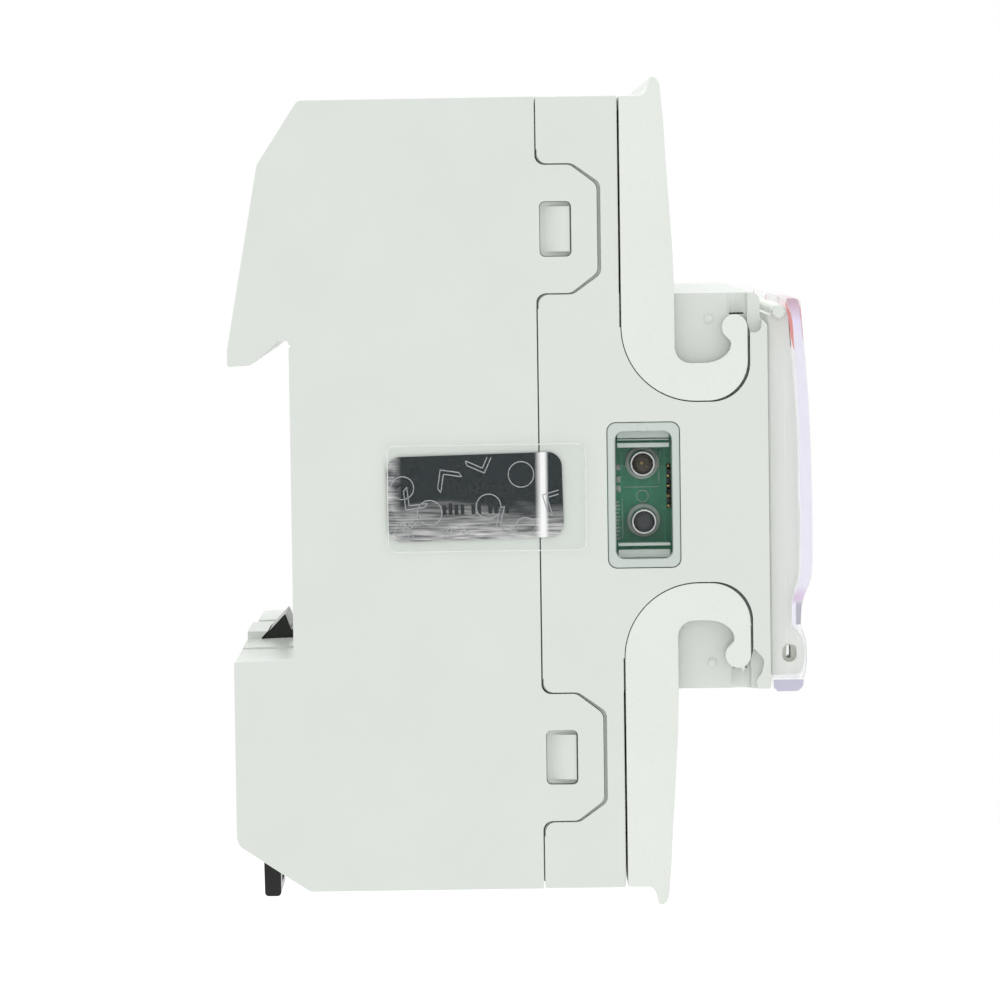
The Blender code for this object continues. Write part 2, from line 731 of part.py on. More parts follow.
def make_terminal_cage(name, x, z):
    """The cage that a terminal screw draws forward, so that it grips a wire against the bar."""
    high = (z - CAGE_HALF_HEIGHT, z + CAGE_HALF_HEIGHT)
    cage = box(name, (x - CAGE_HALF_WIDTH, x + CAGE_HALF_WIDTH), (CAGE_BACK, CAGE_FRONT), high)
    bevel(cage, 0.3)
    inner = CAGE_HALF_WIDTH - 0.7
    cut(
        cage,
        box("wire_window", (x - inner, x + inner), (CAGE_BACK + 1.2, CAGE_FRONT - 3), (high[0] - 1, high[1] + 1)),
        rod("thread", "depth", (CAGE_FRONT - 4, CAGE_FRONT + 1), (x, z), SCREW_RADIUS + 0.15),
    )
    return finished(cage, zinc_steel, point(x, CAGE_FRONT, z))


def make_terminal_screw(name, x, z):
    """A cross-slotted screw that turns in place. Its axis runs along depth."""
    head, neck = SCREW_TOP - SCREW_SHOULDER, SCREW_TIP - SCREW_TOP
    profile = [
        (0, 0), (SCREW_HEAD_RADIUS - 0.4, 0), (SCREW_HEAD_RADIUS, -0.4), (SCREW_HEAD_RADIUS, -head),
        (SCREW_RADIUS, -head), (SCREW_RADIUS, neck + 0.5), (SCREW_RADIUS - 0.5, neck), (0, neck),
    ]
    screw = turned(name, profile, point(x, SCREW_TOP, z), (0, -1, 0))
    slot = (SCREW_TOP - 1.6, SCREW_TOP + 1)
    cut(
        screw,
        box("slot", (x - 2.7, x + 2.7), slot, (z - 0.5, z + 0.5)),
        box("slot", (x - 0.5, x + 0.5), slot, (z - 2.7, z + 2.7)),
    )
    return finished(screw, zinc_steel)


def make_terminals():
    for place, z in (("top", TERMINAL_Z), ("bottom", -TERMINAL_Z)):
        for line, x in zip(LINE_NAMES, TERMINAL_X):
            make_terminal_cage(f"terminal_cage_{place}_{line}", x, z)
            make_terminal_screw(f"terminal_screw_{place}_{line}", x, z)


def make_data_terminals():
    """A block of four small screw terminals that stands through the lower shelf."""
    block = box("data_terminal_block", (-10, 10), (33.2, 40.8), (-31.0, -23.6))
    bevel(block, 0.3)
    for x in DATA_X:
        cut(
            block,
            rod("screw_well", "depth", (38.1, 42), (x, DATA_SCREW_Z), 1.8),
            rod("screw_bore", "depth", (34.9, 39), (x, DATA_SCREW_Z), 1.1, 12),
            box("wire_hole", (x - 1.4, x + 1.4), (37.9, 40.1), (-32, -28.4)),
        )
    finished(block, dark_plastic)
    profile = [(0, 0), (1.3, 0), (1.5, -0.2), (1.5, -1.3), (0.9, -1.3), (0.9, -4.6), (0, -4.6)]
    for number, x in enumerate(DATA_X, start=1):
        screw = turned(f"data_screw_{number}", profile, point(x, 39.8, DATA_SCREW_Z), (0, -1, 0), 12)
        cut(screw, box("slot", (x - 1.9, x + 1.9), (39.1, 41), (DATA_SCREW_Z - 0.25, DATA_SCREW_Z + 0.25)))
        finished(screw, zinc_steel)


# ---------------------------------------------------------------- rail clip


def clip_outline():
    """The clip from the side: the jaw that grips the rail's lower edge, then the long tail."""
    return [
        (-4.9, -18.8), (-2.0, -15.9), (-1.4, -17.7), (-0.3, -17.7), (-0.3, CLIP_SHOULDER),
        (-3.2, CLIP_SHOULDER), (-3.2, CLIP_TAIL_END + 0.3), (-3.5, CLIP_TAIL_END),
        (-4.9, CLIP_TAIL_END), (-5.2, CLIP_TAIL_END + 0.3), (-5.3, -38), (-5.3, -19.4),
    ]


def make_rail_clip():
    clip = prism("rail_clip", clip_outline(), "side", -CLIP_HALF_WIDTH, CLIP_HALF_WIDTH)
    slot = (CLIP_TAIL_END + 1.2, CLIP_TAIL_END + 2.8)
    cut(clip, box("release_slot", (-2.6, 2.6), (-6.5, -2.5), slot))
    return finished(clip, clip_plastic)


def make_clip_spring():
    """The wire spring that pushes the clip up against the rail."""
    curve = bpy.data.curves.new("clip_spring", "CURVE")
    curve.dimensions = "3D"
    curve.bevel_depth = SPRING_WIRE / 2 * MM
    curve.bevel_resolution = 1
    curve.use_fill_caps = True
    steps = SPRING_TURNS * 10
    low, high = SPRING_FOOT + SPRING_WIRE, CLIP_SHOULDER - GAP
    spline = curve.splines.new("POLY")
    spline.points.add(steps)
    for i, spline_point in enumerate(spline.points):
        turn = 2 * math.pi * SPRING_TURNS * i / steps
        across = SPRING_RADIUS * math.cos(turn)
        depth = SPRING_DEPTH + SPRING_RADIUS * math.sin(turn)
        place = point(across, depth, low + (high - low) * i / steps)
        spline_point.co = (*place, 1)
    return finished(meshed(linked("clip_spring_wire", curve), "clip_spring"), spring_steel)


clear_scene()
parts = new_collection(OBJECT_NAME)
cutters = new_collection("cutters")
meter = bpy.data.objects.new("meter", None)
parts.objects.link(meter)

body_plastic = material("body_plastic", (0.66, 0.70, 0.65), 0.45)
cover_plastic = material("cover_plastic", (0.75, 0.79, 0.73), 0.42)
faceplate_plastic = material("faceplate_plastic", (0.62, 0.64, 0.58), 0.5)
clear_plastic = material("clear_plastic", (0.86, 0.85, 0.93), 0.05, transmission=0.9)
clip_plastic = material("clip_plastic", (0.012, 0.013, 0.012), 0.45)
button_plastic = material("button_plastic", (0.35, 0.36, 0.37), 0.5)
white_plastic = material("white_plastic", (0.8, 0.8, 0.8), 0.5)
dark_plastic = material("dark_plastic", (0.03, 0.03, 0.035), 0.5)
red_plastic = material("red_plastic", (0.6, 0.02, 0.02), 0.15)
printed_film = material("printed_film", (0.8, 0.81, 0.8), 0.35)
metal_foil = material("metal_foil", (0.72, 0.73, 0.74), 0.25, metallic=1.0)
lcd_glass = material("lcd_glass", (0.32, 0.38, 0.30), 0.1)
board_green = material("board_green", (0.02, 0.2, 0.1), 0.4)
diode_clear = material("diode_clear", (0.75, 0.7, 0.6), 0.1)
diode_dark = material("diode_dark", (0.06, 0.06, 0.07), 0.15)
dark_sleeve = material("dark_sleeve", (0.02, 0.03, 0.06), 0.35)
ferrite = material("ferrite", (0.05, 0.05, 0.05), 0.7)
blue_coating = material("blue_coating", (0.03, 0.08, 0.3), 0.5)
copper = material("copper", (0.72, 0.33, 0.18), 0.3, metallic=1.0)
zinc_steel = material("zinc_steel", (0.62, 0.62, 0.6), 0.35, metallic=1.0)
spring_steel = material("spring_steel", (0.5, 0.5, 0.5), 0.3, metallic=1.0)

make_base_housing()
make_front_cover()
make_terminal_cover("upper_terminal_cover", upside_down=False)
make_terminal_cover("lower_terminal_cover", upside_down=True)
make_faceplate()
make_front_flap()
make_front_label()
make_display()
make_scroll_button("scroll_button_left", -BUTTON_SPREAD)
make_scroll_button("scroll_button_right", BUTTON_SPREAD)
make_pulse_lamp_lens()
make_optical_window()
make_side_labels()
make_optical_board()
make_metering_board()
make_display_board()
make_power_supply()
make_conductors()
make_terminals()
make_data_terminals()
make_rail_clip()
make_clip_spring()
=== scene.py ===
"""The looks of a four-module DIN-rail electricity meter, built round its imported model.

Lengths in this script are millimetres unless a name or comment says otherwise; the meshes are in
metres. The front faces -Y, so a point at depth d, measured forward of the rail, has y = -d.
"""

import json
import math

import bmesh
import bpy
from mathutils import Matrix, Vector


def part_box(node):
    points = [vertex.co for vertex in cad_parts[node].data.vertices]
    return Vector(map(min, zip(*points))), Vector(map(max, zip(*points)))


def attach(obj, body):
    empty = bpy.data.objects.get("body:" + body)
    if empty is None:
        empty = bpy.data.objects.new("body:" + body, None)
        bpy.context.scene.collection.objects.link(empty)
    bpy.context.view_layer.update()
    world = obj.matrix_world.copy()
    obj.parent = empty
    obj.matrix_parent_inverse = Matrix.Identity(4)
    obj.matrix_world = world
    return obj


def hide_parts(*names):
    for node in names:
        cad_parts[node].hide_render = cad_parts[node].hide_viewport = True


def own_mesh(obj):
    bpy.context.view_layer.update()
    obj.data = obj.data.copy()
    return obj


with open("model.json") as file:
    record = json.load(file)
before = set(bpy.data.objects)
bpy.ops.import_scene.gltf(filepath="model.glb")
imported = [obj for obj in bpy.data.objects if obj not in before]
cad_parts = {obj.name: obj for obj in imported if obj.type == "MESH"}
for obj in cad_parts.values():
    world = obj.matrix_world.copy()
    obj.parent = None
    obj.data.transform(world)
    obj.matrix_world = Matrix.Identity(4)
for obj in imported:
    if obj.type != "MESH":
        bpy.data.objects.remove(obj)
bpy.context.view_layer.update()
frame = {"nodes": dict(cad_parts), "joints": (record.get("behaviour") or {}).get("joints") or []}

MM = 0.001


def lowest(node):
    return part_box(node)[0] / MM


def highest(node):
    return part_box(node)[1] / MM


def middle_of(node):
    return (lowest(node) + highest(node)) / 2


def spans(node):
    """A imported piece's stretches of x, of depth and of z, each (low, high)."""
    low, high = lowest(node), highest(node)
    return (low.x, high.x), (-high.y, -low.y), (low.z, high.z)


def face_of(node, plane):
    """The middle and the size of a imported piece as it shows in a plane, each (across, up)."""
    xs, depths, zs = spans(node)
    across = depths if plane == "side" else xs
    return ((across[0] + across[1]) / 2, (zs[0] + zs[1]) / 2), (across[1] - across[0], zs[1] - zs[0])


def grown(span, amount):
    """A stretch made longer at both ends."""
    return span[0] - amount, span[1] + amount


def grown_size(size, amount):
    """A size made bigger by an amount each way."""
    return size[0] + amount, size[1] + amount


def hinge_place(joint_name):
    """A hinge's depth and height."""
    joint = next(j for j in frame["joints"] if j["name"] == joint_name)
    return -joint["pos_m"][1] / MM, joint["pos_m"][2] / MM


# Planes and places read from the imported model
SIDE = highest("base_housing").x
TOP = highest("base_housing").z
SEAM_FRONT = -highest("front_cover").y
SEAM_BACK = SEAM_FRONT - 0.16
BLOCK_FRONT = -lowest("front_cover").y
COVER_PIVOT = hinge_place("upper_cover_hinge")
FLAP_PIVOT = hinge_place("front_flap_hinge")
FLAP_SIDE = highest("front_flap").x
PORT_CENTRE, PORT_SIZE = face_of("optical_window", "side")
BUTTONS = {side: middle_of(f"scroll_button_{side}") for side in ("left", "right")}
BUTTON_Z = BUTTONS["left"].z
# Depth of the side label's crease, along which a painted highlight is drawn.
CREASE = SEAM_FRONT + 0.25

# The housing's own planes
SHELF = 37.45
BLOCK_TOP = 22.5
WALL = 2.0
BLOCK_WALL = 3.6
SLOT_TOP, SLOT_BOTTOM = 17.75, -18.4
FOOT_BACK = -6.8
TAB_HEIGHT = 30.0
TAB_FLOOR = SIDE - 1.9
TAB_WINDOW_DEPTH = 30.35
POCKET_FLOOR = SIDE - 2.0
ARM_INNER_FACE = SIDE - 1.8
COVER_BACK = SHELF + 0.09
NOTCH_FLOOR = SIDE - 1.15
PIN_HOLE_FLOOR = SIDE - 4.5
CLIP_HALF_WIDTH = 6.0
PANE_REST = 1.2
LAMP_HOLE_RADIUS = 1.5
BUTTON_HOLE_RADIUS = 2.6
LABEL_TILT = 1.2  # degrees
CLEAR_PLASTIC_IOR = 1.55

PLANES = {
    "side": Matrix(((0, 0, 1), (-1, 0, 0), (0, 1, 0))),
    "front": Matrix(((1, 0, 0), (0, 0, -1), (0, 1, 0))),
    "top": Matrix(((1, 0, 0), (0, -1, 0), (0, 0, 1))),
}


# ---------------------------------------------------------------- outlines


def arc(centre, radius, start, end, steps=16):
    """Points on a circle from start to end degrees, both included."""
    turns = [math.radians(start + (end - start) * i / steps) for i in range(steps + 1)]
    return [(centre[0] + radius * math.cos(a), centre[1] + radius * math.sin(a)) for a in turns]


def rounded(corners, steps=6):
    """An outline whose corners, each (across, up, radius), are rounded off."""
    outline = []
    for i, (across, up, radius) in enumerate(corners):
        corner = Vector((across, up))
        if not radius:
            outline.append((across, up))
            continue
        before = (Vector(corners[i - 1][:2]) - corner).normalized()
        after = (Vector(corners[(i + 1) % len(corners)][:2]) - corner).normalized()
        half = before.angle(after) / 2
        centre = corner + (before + after).normalized() * (radius / math.sin(half))
        start = corner + before * (radius / math.tan(half)) - centre
        end = corner + after * (radius / math.tan(half)) - centre
        turn = math.atan2(start.x * end.y - start.y * end.x, start.dot(end))
        first = math.atan2(start.y, start.x)
        outline += [
            (centre.x + radius * math.cos(first + turn * k / steps),
             centre.y + radius * math.sin(first + turn * k / steps))
            for k in range(steps + 1)
        ]
    return outline


def rounded_rectangle(centre, size, radius, steps=8):
    across, up = size[0] / 2, size[1] / 2
    signs = ((1, 1), (-1, 1), (-1, -1), (1, -1))
    return rounded([(centre[0] + a * across, centre[1] + b * up, radius) for a, b in signs], steps)


def rectangle(centre, size):
    return rounded_rectangle(centre, size, 0)


def turned_by(outline, degrees, centre):
    """The outline turned about a centre."""
    c, s = math.cos(math.radians(degrees)), math.sin(math.radians(degrees))
    away = [(a - centre[0], b - centre[1]) for a, b in outline]
    return [(centre[0] + a * c - b * s, centre[1] + a * s + b * c) for a, b in away]


def flipped(outline):
    """The outline upside down."""
    return [(depth, -z) for depth, z in reversed(outline)]


# ---------------------------------------------------------------- solids


def linked(name, data):
    made = bpy.data.objects.new(name, data)
    bpy.context.scene.collection.objects.link(made)
    return made


def from_bmesh(name, bm):
    bmesh.ops.recalc_face_normals(bm, faces=bm.faces)
    mesh = bpy.data.meshes.new(name)
    bm.to_mesh(mesh)
    bm.free()
    mesh.shade_smooth()
    return linked(name, mesh)


def raise_faces(bm, faces, direction, thickness):
    """Makes flat faces into closed solids of that thickness."""
    moved = bmesh.ops.extrude_face_region(bm, geom=faces, use_keep_orig=True)
    corners = [part for part in moved["geom"] if isinstance(part, bmesh.types.BMVert)]
    bmesh.ops.translate(bm, vec=direction * thickness, verts=corners)


def prisms(name, outlines, plane, low, high):
    """Flat outlines given a thickness, from low to high along x, depth or z, in one mesh."""
    turn = PLANES[plane]
    bm = bmesh.new()
    faces = []
    for outline in outlines:
        corners = [bm.verts.new(turn @ Vector((a, b, low)) * MM) for a, b in outline]
        faces.append(bm.faces.new(corners))
    raise_faces(bm, faces, turn @ Vector((0, 0, 1)), (high - low) * MM)
    return from_bmesh(name, bm)


def prism(name, outline, plane, low, high):
    return prisms(name, [outline], plane, low, high)


def box(name, xs, depths, zs):
    """A box between two values of x, of depth and of z."""
    corners = [(xs[0], zs[0]), (xs[1], zs[0]), (xs[1], zs[1]), (xs[0], zs[1])]
    return prism(name, corners, "front", *depths)


def plate(name, node, plane, radius):
    """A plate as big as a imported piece, with rounded corners."""
    xs, depths, _ = spans(node)
    along = xs if plane == "side" else depths
    return prism(name, rounded_rectangle(*face_of(node, plane), radius), plane, *along)


def rod(name, plane, along, centre, radius, sides=48):
    """A cylinder whose axis crosses that plane."""
    return prism(name, arc(centre, radius, 0, 360 - 360 / sides, sides - 1), plane, *along)


def strokes(name, paths, width, plane, low, high):
    """Lines of one width drawn along paths, each (points, closed), and given a thickness."""
    turn = PLANES[plane]
    bm = bmesh.new()
    faces = []
    for path, closed in paths:
        points = [Vector(p) for p in path]
        count = len(points)
        pairs = []
        for i, here in enumerate(points):
            before = points[i - 1] if closed or i else here
            after = points[(i + 1) % count] if closed or i < count - 1 else here
            along = (after - before).normalized()
            out = Vector((-along.y, along.x)) * (width / 2)
            edge = [bm.verts.new(turn @ Vector((*(here + s * out), low)) * MM) for s in (1, -1)]
            pairs.append(edge)
        for i in range(count if closed else count - 1):
            (a, b), (c, d) = pairs[i], pairs[(i + 1) % count]
            faces.append(bm.faces.new((a, b, d, c)))
    raise_faces(bm, faces, turn @ Vector((0, 0, 1)), (high - low) * MM)
    return from_bmesh(name, bm)


def turned(name, profile, place, direction, steps=48, ring=False):
    """A turned piece at place in metres, its axis along direction. The profile is (radius, along) points."""
    bm = bmesh.new()
    corners = [bm.verts.new((radius * MM, 0, along * MM)) for radius, along in profile]
    edges = [bm.edges.new(ends) for ends in zip(corners, corners[1:])]
    if ring:
        edges.append(bm.edges.new((corners[-1], corners[0])))
    bmesh.ops.spin(
        bm, geom=corners + edges, cent=(0, 0, 0), axis=(0, 0, 1), angle=2 * math.pi, steps=steps,
        use_merge=True, use_duplicate=False,
    )
    bmesh.ops.remove_doubles(bm, verts=bm.verts, dist=1e-7)
    turn = Vector(direction).to_track_quat("Z", "Y").to_matrix().to_4x4()
    bmesh.ops.transform(bm, matrix=Matrix.Translation(place) @ turn, verts=bm.verts)
    return from_bmesh(name, bm)


def point(x, depth, z):
    """A place in metres from millimetres."""
    return Vector((x, -depth, z)) * MM


def apply_modifiers(target):
    """Keeps the shape that the modifiers give, and leaves only its mesh."""
    bpy.context.view_layer.update()
    graph = bpy.context.evaluated_depsgraph_get()
    mesh = bpy.data.meshes.new_from_object(target.evaluated_get(graph))
    target.modifiers.clear()
    target.data = mesh
    return target


def combine(target, others, operation):
    """Cuts the others out of the target or joins them to it, and takes them away."""
    for other in others:
        modifier = target.modifiers.new(operation.title(), "BOOLEAN")
        modifier.operation = operation
        modifier.solver = "EXACT"
        modifier.object = other
    apply_modifiers(target)
    for other in others:
        bpy.data.objects.remove(other)


def cut(target, *others):
    combine(target, others, "DIFFERENCE")


def join(target, *others):
    combine(target, others, "UNION")


def eased(target, width, segments=3):
    """Rounds the sharp edges."""
    modifier = target.modifiers.new("Rounded edges", "BEVEL")
    modifier.width = width * MM
    modifier.segments = segments
    modifier.limit_method = "ANGLE"
    modifier.angle_limit = math.radians(33)
    modifier.harden_normals = True
    modifier.miter_outer = "MITER_ARC"
    return apply_modifiers(target)


def dress(piece, look):
    piece.data.materials.clear()
    piece.data.materials.append(look)


def finished(piece, look, nodes=(), body="housing"):
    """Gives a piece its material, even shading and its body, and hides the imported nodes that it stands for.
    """
    dress(piece, look)
    modifier = piece.modifiers.new("Even shading", "WEIGHTED_NORMAL")
    modifier.keep_sharp = True
    modifier.weight = 50
    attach(piece, body)
    if nodes:
        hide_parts(*nodes)
    return piece


def toward(side, start, end):
    """The stretch between two distances from the middle, where side is 1 or -1."""
    return sorted((side * start, side * end))


def both_sides(low, high):
    """The same stretch of x on the left and on the right side."""
    return ((-high, -low), (low, high))


def pair(name, outline, low, high):
    """The same side-view outline on the left and on the right, from low to high."""
    return [prism(name, outline, "side", *x) for x in both_sides(low, high)]


# ---------------------------------------------------------------- materials


class Look:
    """A material with a Principled shader and the object's own coordinates, and means to add nodes to it."""

    def __init__(self, name, colour, roughness, metallic=0.0, **more):
        self.material = bpy.data.materials.new(name)
        self.material.use_nodes = True
        self.tree = self.material.node_tree
        self.shader = self.tree.nodes["Principled BSDF"]
        more.update(Roughness=roughness, Metallic=metallic)
        self.shader.inputs["Base Color"].default_value = (*colour, 1)
        for socket, value in more.items():
            self.shader.inputs[socket.replace("_", " ")].default_value = value
        self.where = self.add("ShaderNodeTexCoord").outputs["Object"]

    def add(self, kind, inputs=None, **settings):
        node = self.tree.nodes.new(kind)
        for name, value in settings.items():
            setattr(node, name, value)
        for name, value in (inputs or {}).items():
            if isinstance(value, bpy.types.NodeSocket):
                self.tree.links.new(value, node.inputs[name])
            else:
                node.inputs[name].default_value = value
        return node

    def link(self, value, socket):
        self.tree.links.new(value, self.shader.inputs[socket])

    def noise(self, scale, detail=3.0, stretch=None):
        """A noise value. scale counts its lumps per millimetre, and stretch scales each axis."""
        where = self.where
        if stretch:
            where = self.add("ShaderNodeMapping", {"Vector": where, "Scale": stretch}).outputs["Vector"]
        inputs = {"Vector": where, "Scale": scale / MM, "Detail": detail}
        return self.add("ShaderNodeTexNoise", inputs).outputs["Fac"]

    def spread(self, value, low, high, from_low=0.3, from_high=0.7):
        inputs = {"Value": value, "From Min": from_low, "From Max": from_high, "To Min": low, "To Max": high}
        return self.add("ShaderNodeMapRange", inputs).outputs["Result"]

    def along(self, axis, low, high, start, end):
        """low up to start and high from end, both in mm along an axis."""
        return self.spread(axis, low, high, start * MM, end * MM)

    def math(self, operation, first, second):
        return self.add("ShaderNodeMath", {0: first, 1: second}, operation=operation).outputs[0]

    def mixed(self, factor, first, second):
        """A colour between two colours, which are sockets or (r, g, b)."""
        colours = [c if isinstance(c, bpy.types.NodeSocket) else (*c, 1) for c in (first, second)]
        inputs = {0: factor, 6: colours[0], 7: colours[1]}
        return self.add("ShaderNodeMix", inputs, data_type="RGBA").outputs[2]

    def height_and_depth(self):
        axes = self.add("ShaderNodeSeparateXYZ", {"Vector": self.where}).outputs
        return axes["Z"], axes["Y"]

    def add_grain(self, height, depth):
        inputs = {"Height": height, "Strength": 1.0, "Distance": depth * MM}
        self.link(self.add("ShaderNodeBump", inputs).outputs["Normal"], "Normal")


def scaled(colour, factor):
    return tuple(min(1.0, part * factor) for part in colour)


def plastic(name, colour, roughness, mottle=0.012, grain=0.004, **more):
    """Moulded plastic: faint mottling, a fine spark-eroded grain and slightly uneven gloss."""
    look = Look(name, colour, roughness, **more)
    lumps = look.spread(look.noise(0.12, 4.0), 0, 1)
    look.link(look.mixed(lumps, scaled(colour, 1 - mottle), scaled(colour, 1 + mottle)), "Base Color")
    look.link(look.spread(look.noise(0.6, 2.0), roughness * 0.9, roughness * 1.1), "Roughness")
    look.add_grain(look.noise(5.0, 2.0), grain)
    return look.material


def clear(name, colour, veil):
    """Clear moulded plastic: see-through, with gloss and a faint veil that grow towards its edges."""
    look = Look(name, colour, 0.05, IOR=CLEAR_PLASTIC_IOR)
    flow = look.noise(0.08, 2.0, (1, 1, 3))
    look.link(look.mixed(flow, scaled(colour, 0.96), scaled(colour, 1.04)), "Base Color")
    gloss = look.add("ShaderNodeFresnel", {"IOR": CLEAR_PLASTIC_IOR}).outputs["Fac"]
    through = look.add("ShaderNodeBsdfTransparent").outputs["BSDF"]
    solid = look.shader.outputs["BSDF"]
    mix = look.add("ShaderNodeMixShader", {0: look.spread(gloss, veil, 0.4, 0.04, 1.0), 1: through, 2: solid})
    look.tree.links.new(mix.outputs["Shader"], look.tree.nodes["Material Output"].inputs["Surface"])
    return look.material


def flap_edge(name):
    """Painted light for the clear flap's cut edges: painted lilac refraction, painted pink refraction of the
    red band near the top and above the seal boss, a paler painted band low down, and painted shade at the
    front step and the sill.
    """
    look = Look(name, (0.7, 0.68, 0.85), 0.2, Alpha=0.7)
    height, front = look.height_and_depth()
    mauve = look.mixed(look.along(height, 0, 1, 19.2, 21.4), (0.85, 0.80, 0.98), (0.64, 0.44, 0.54))
    wall = look.mixed(look.along(height, 0, 1, 17.0, 19.2), (0.865, 0.855, 0.94), mauve)
    heel = look.mixed(look.along(height, 1, 0, -12.0, -10.8), wall, (0.76, 0.62, 0.79))
    foot = look.mixed(look.along(height, 1, 0, -13.0, -12.4), heel, (0.90, 0.90, 0.95))
    step = look.mixed(look.along(front, 1, 0, -57.15, -57.05), foot, (0.48, 0.48, 0.55))
    stepped = look.mixed(look.along(height, 1, 0, -13.0, -12.4), foot, step)
    sill = look.mixed(look.along(height, 1, 0, -21.5, -21.2), stepped, (0.59, 0.585, 0.71))
    look.link(sill, "Base Color")
    return look.material


def metal(name, colour, roughness, stretch=(1, 1, 1), grain=0.002):
    """Bare or plated metal with fine drawn or turned lines."""
    look = Look(name, colour, roughness, 1.0)
    lines = look.noise(2.0, 3.0, stretch)
    look.link(look.mixed(lines, scaled(colour, 0.82), scaled(colour, 1.12)), "Base Color")
    look.link(look.spread(lines, roughness * 0.75, roughness * 1.3), "Roughness")
    look.add_grain(lines, grain)
    return look.material


def circuit_board(name):
    """Green solder resist with copper tracks showing faintly through it."""
    look = Look(name, (0.02, 0.2, 0.1), 0.3)
    tracks = look.add("ShaderNodeTexBrick", {
        "Vector": look.where, "Scale": 0.55 / MM, "Mortar Size": 0.045, "Brick Width": 1.7, "Row Height": 0.9,
        "Color1": (0.003, 0.28, 0.137, 1), "Color2": (0.004, 0.32, 0.155, 1),
        "Mortar": (0.015, 0.42, 0.23, 1),
    })
    cloud = look.spread(look.noise(0.15, 2.0), 0, 0.5)
    look.link(look.mixed(cloud, tracks.outputs["Color"], (0.003, 0.19, 0.09)), "Base Color")
    look.add_grain(look.noise(1.5, 2.0), 0.01)
    return look.material


def embossed_foil(name, low, high):
    """Foil with painted reflections: a painted dark reflection over its upper part, by its back edge and in
    patches, a streaked painted bright reflection below, and a painted highlight along its crease. low and
    high are its corners in mm.
    """
    look = Look(name, (0.6, 0.6, 0.6), 0.3, 1.0)
    height, depth = look.height_and_depth()
    # The colour paints the foil's reflections: dark above and by the back edge, bright and streaked below.
    waves = look.math("MULTIPLY", look.noise(0.22, 3.0, (1, 0.5, 1.4)), 0.006)
    rise = look.along(look.math("ADD", height, waves), 0, 1, low.z + 3.4, low.z + 7.6)
    edge = look.along(depth, 0, 1, high.y - 0.3, high.y - 1.7)
    patch = look.spread(look.noise(0.35, 2.0), 0, 1, 0.42, 0.6)
    dark_reflection_mask = look.math("MULTIPLY", rise, look.math("MAXIMUM", edge, patch))
    streaks = look.spread(look.noise(1.1, 4.0, (1, 0.22, 3)), 0, 1, 0.35, 0.65)
    specks = look.noise(6.0, 3.0)
    bright = look.mixed(streaks, (0.15, 0.15, 0.155), (0.70, 0.695, 0.685))
    dark = look.mixed(look.spread(specks, 0, 1, 0.52, 0.72), (0.008, 0.010, 0.013), (0.052, 0.055, 0.060))
    foil = look.mixed(dark_reflection_mask, bright, dark)
    # A painted highlight along the crease.
    rising = look.along(depth, 0, 1, -CREASE - 0.70, -CREASE - 0.28)
    falling = look.along(depth, 1, 0, 0.12 - CREASE, 0.85 - CREASE)
    crease_highlight = look.math("MULTIPLY", rising, falling)
    look.link(look.mixed(crease_highlight, foil, (0.93, 0.93, 0.925)), "Base Color")
    look.add_grain(specks, 0.004)
    return look.material


body_look = plastic("body_plastic", (0.606, 0.641, 0.600), 0.24, grain=0.0015)
cover_look = plastic("cover_plastic", (0.655, 0.688, 0.645), 0.28, grain=0.002)
faceplate_look = plastic("faceplate_plastic", (0.765, 0.79, 0.735), 0.45)
flap_look = clear("flap_polycarbonate", (0.86, 0.85, 0.93), 0.035)
edge_look = flap_edge("flap_edge")
window_look = clear("window_polycarbonate", (0.80, 0.84, 0.83), 0.006)
frosted_look = plastic("frosted_polycarbonate", (0.49, 0.545, 0.51), 0.3, mottle=0.02)
hazy_look = plastic("hazy_polycarbonate", (0.78, 0.86, 0.81), 0.12, mottle=0.04, grain=0.001, Alpha=0.56)
clip_look = plastic("clip_plastic", (0.010, 0.011, 0.010), 0.2, mottle=0.15, Specular_IOR_Level=0.28)
button_look = plastic("button_plastic", (0.33, 0.34, 0.35), 0.5, mottle=0.04)
white_look = plastic("holder_plastic", (0.8, 0.8, 0.79), 0.5)
dark_look = plastic("dark_plastic", (0.03, 0.032, 0.035), 0.45, mottle=0.2)
ferrite_look = plastic("ferrite", (0.05, 0.05, 0.05), 0.75, mottle=0.3, grain=0.02)
blue_look = plastic("blue_coating", (0.03, 0.08, 0.3), 0.4, mottle=0.2, grain=0.02)
sleeve_look = plastic("dark_sleeve", (0.02, 0.03, 0.06), 0.3, mottle=0.2)
film_look = plastic("printed_film", (0.80, 0.815, 0.80), 0.32, mottle=0.01)
print_look = plastic("dark_print", (0.03, 0.032, 0.036), 0.4, mottle=0.1)
black_print_look = plastic("black_print", (0.006, 0.006, 0.007), 0.5, mottle=0.1, Specular_IOR_Level=0.15)
red_print_look = plastic("red_print", (0.62, 0.05, 0.045), 0.35, mottle=0.05)
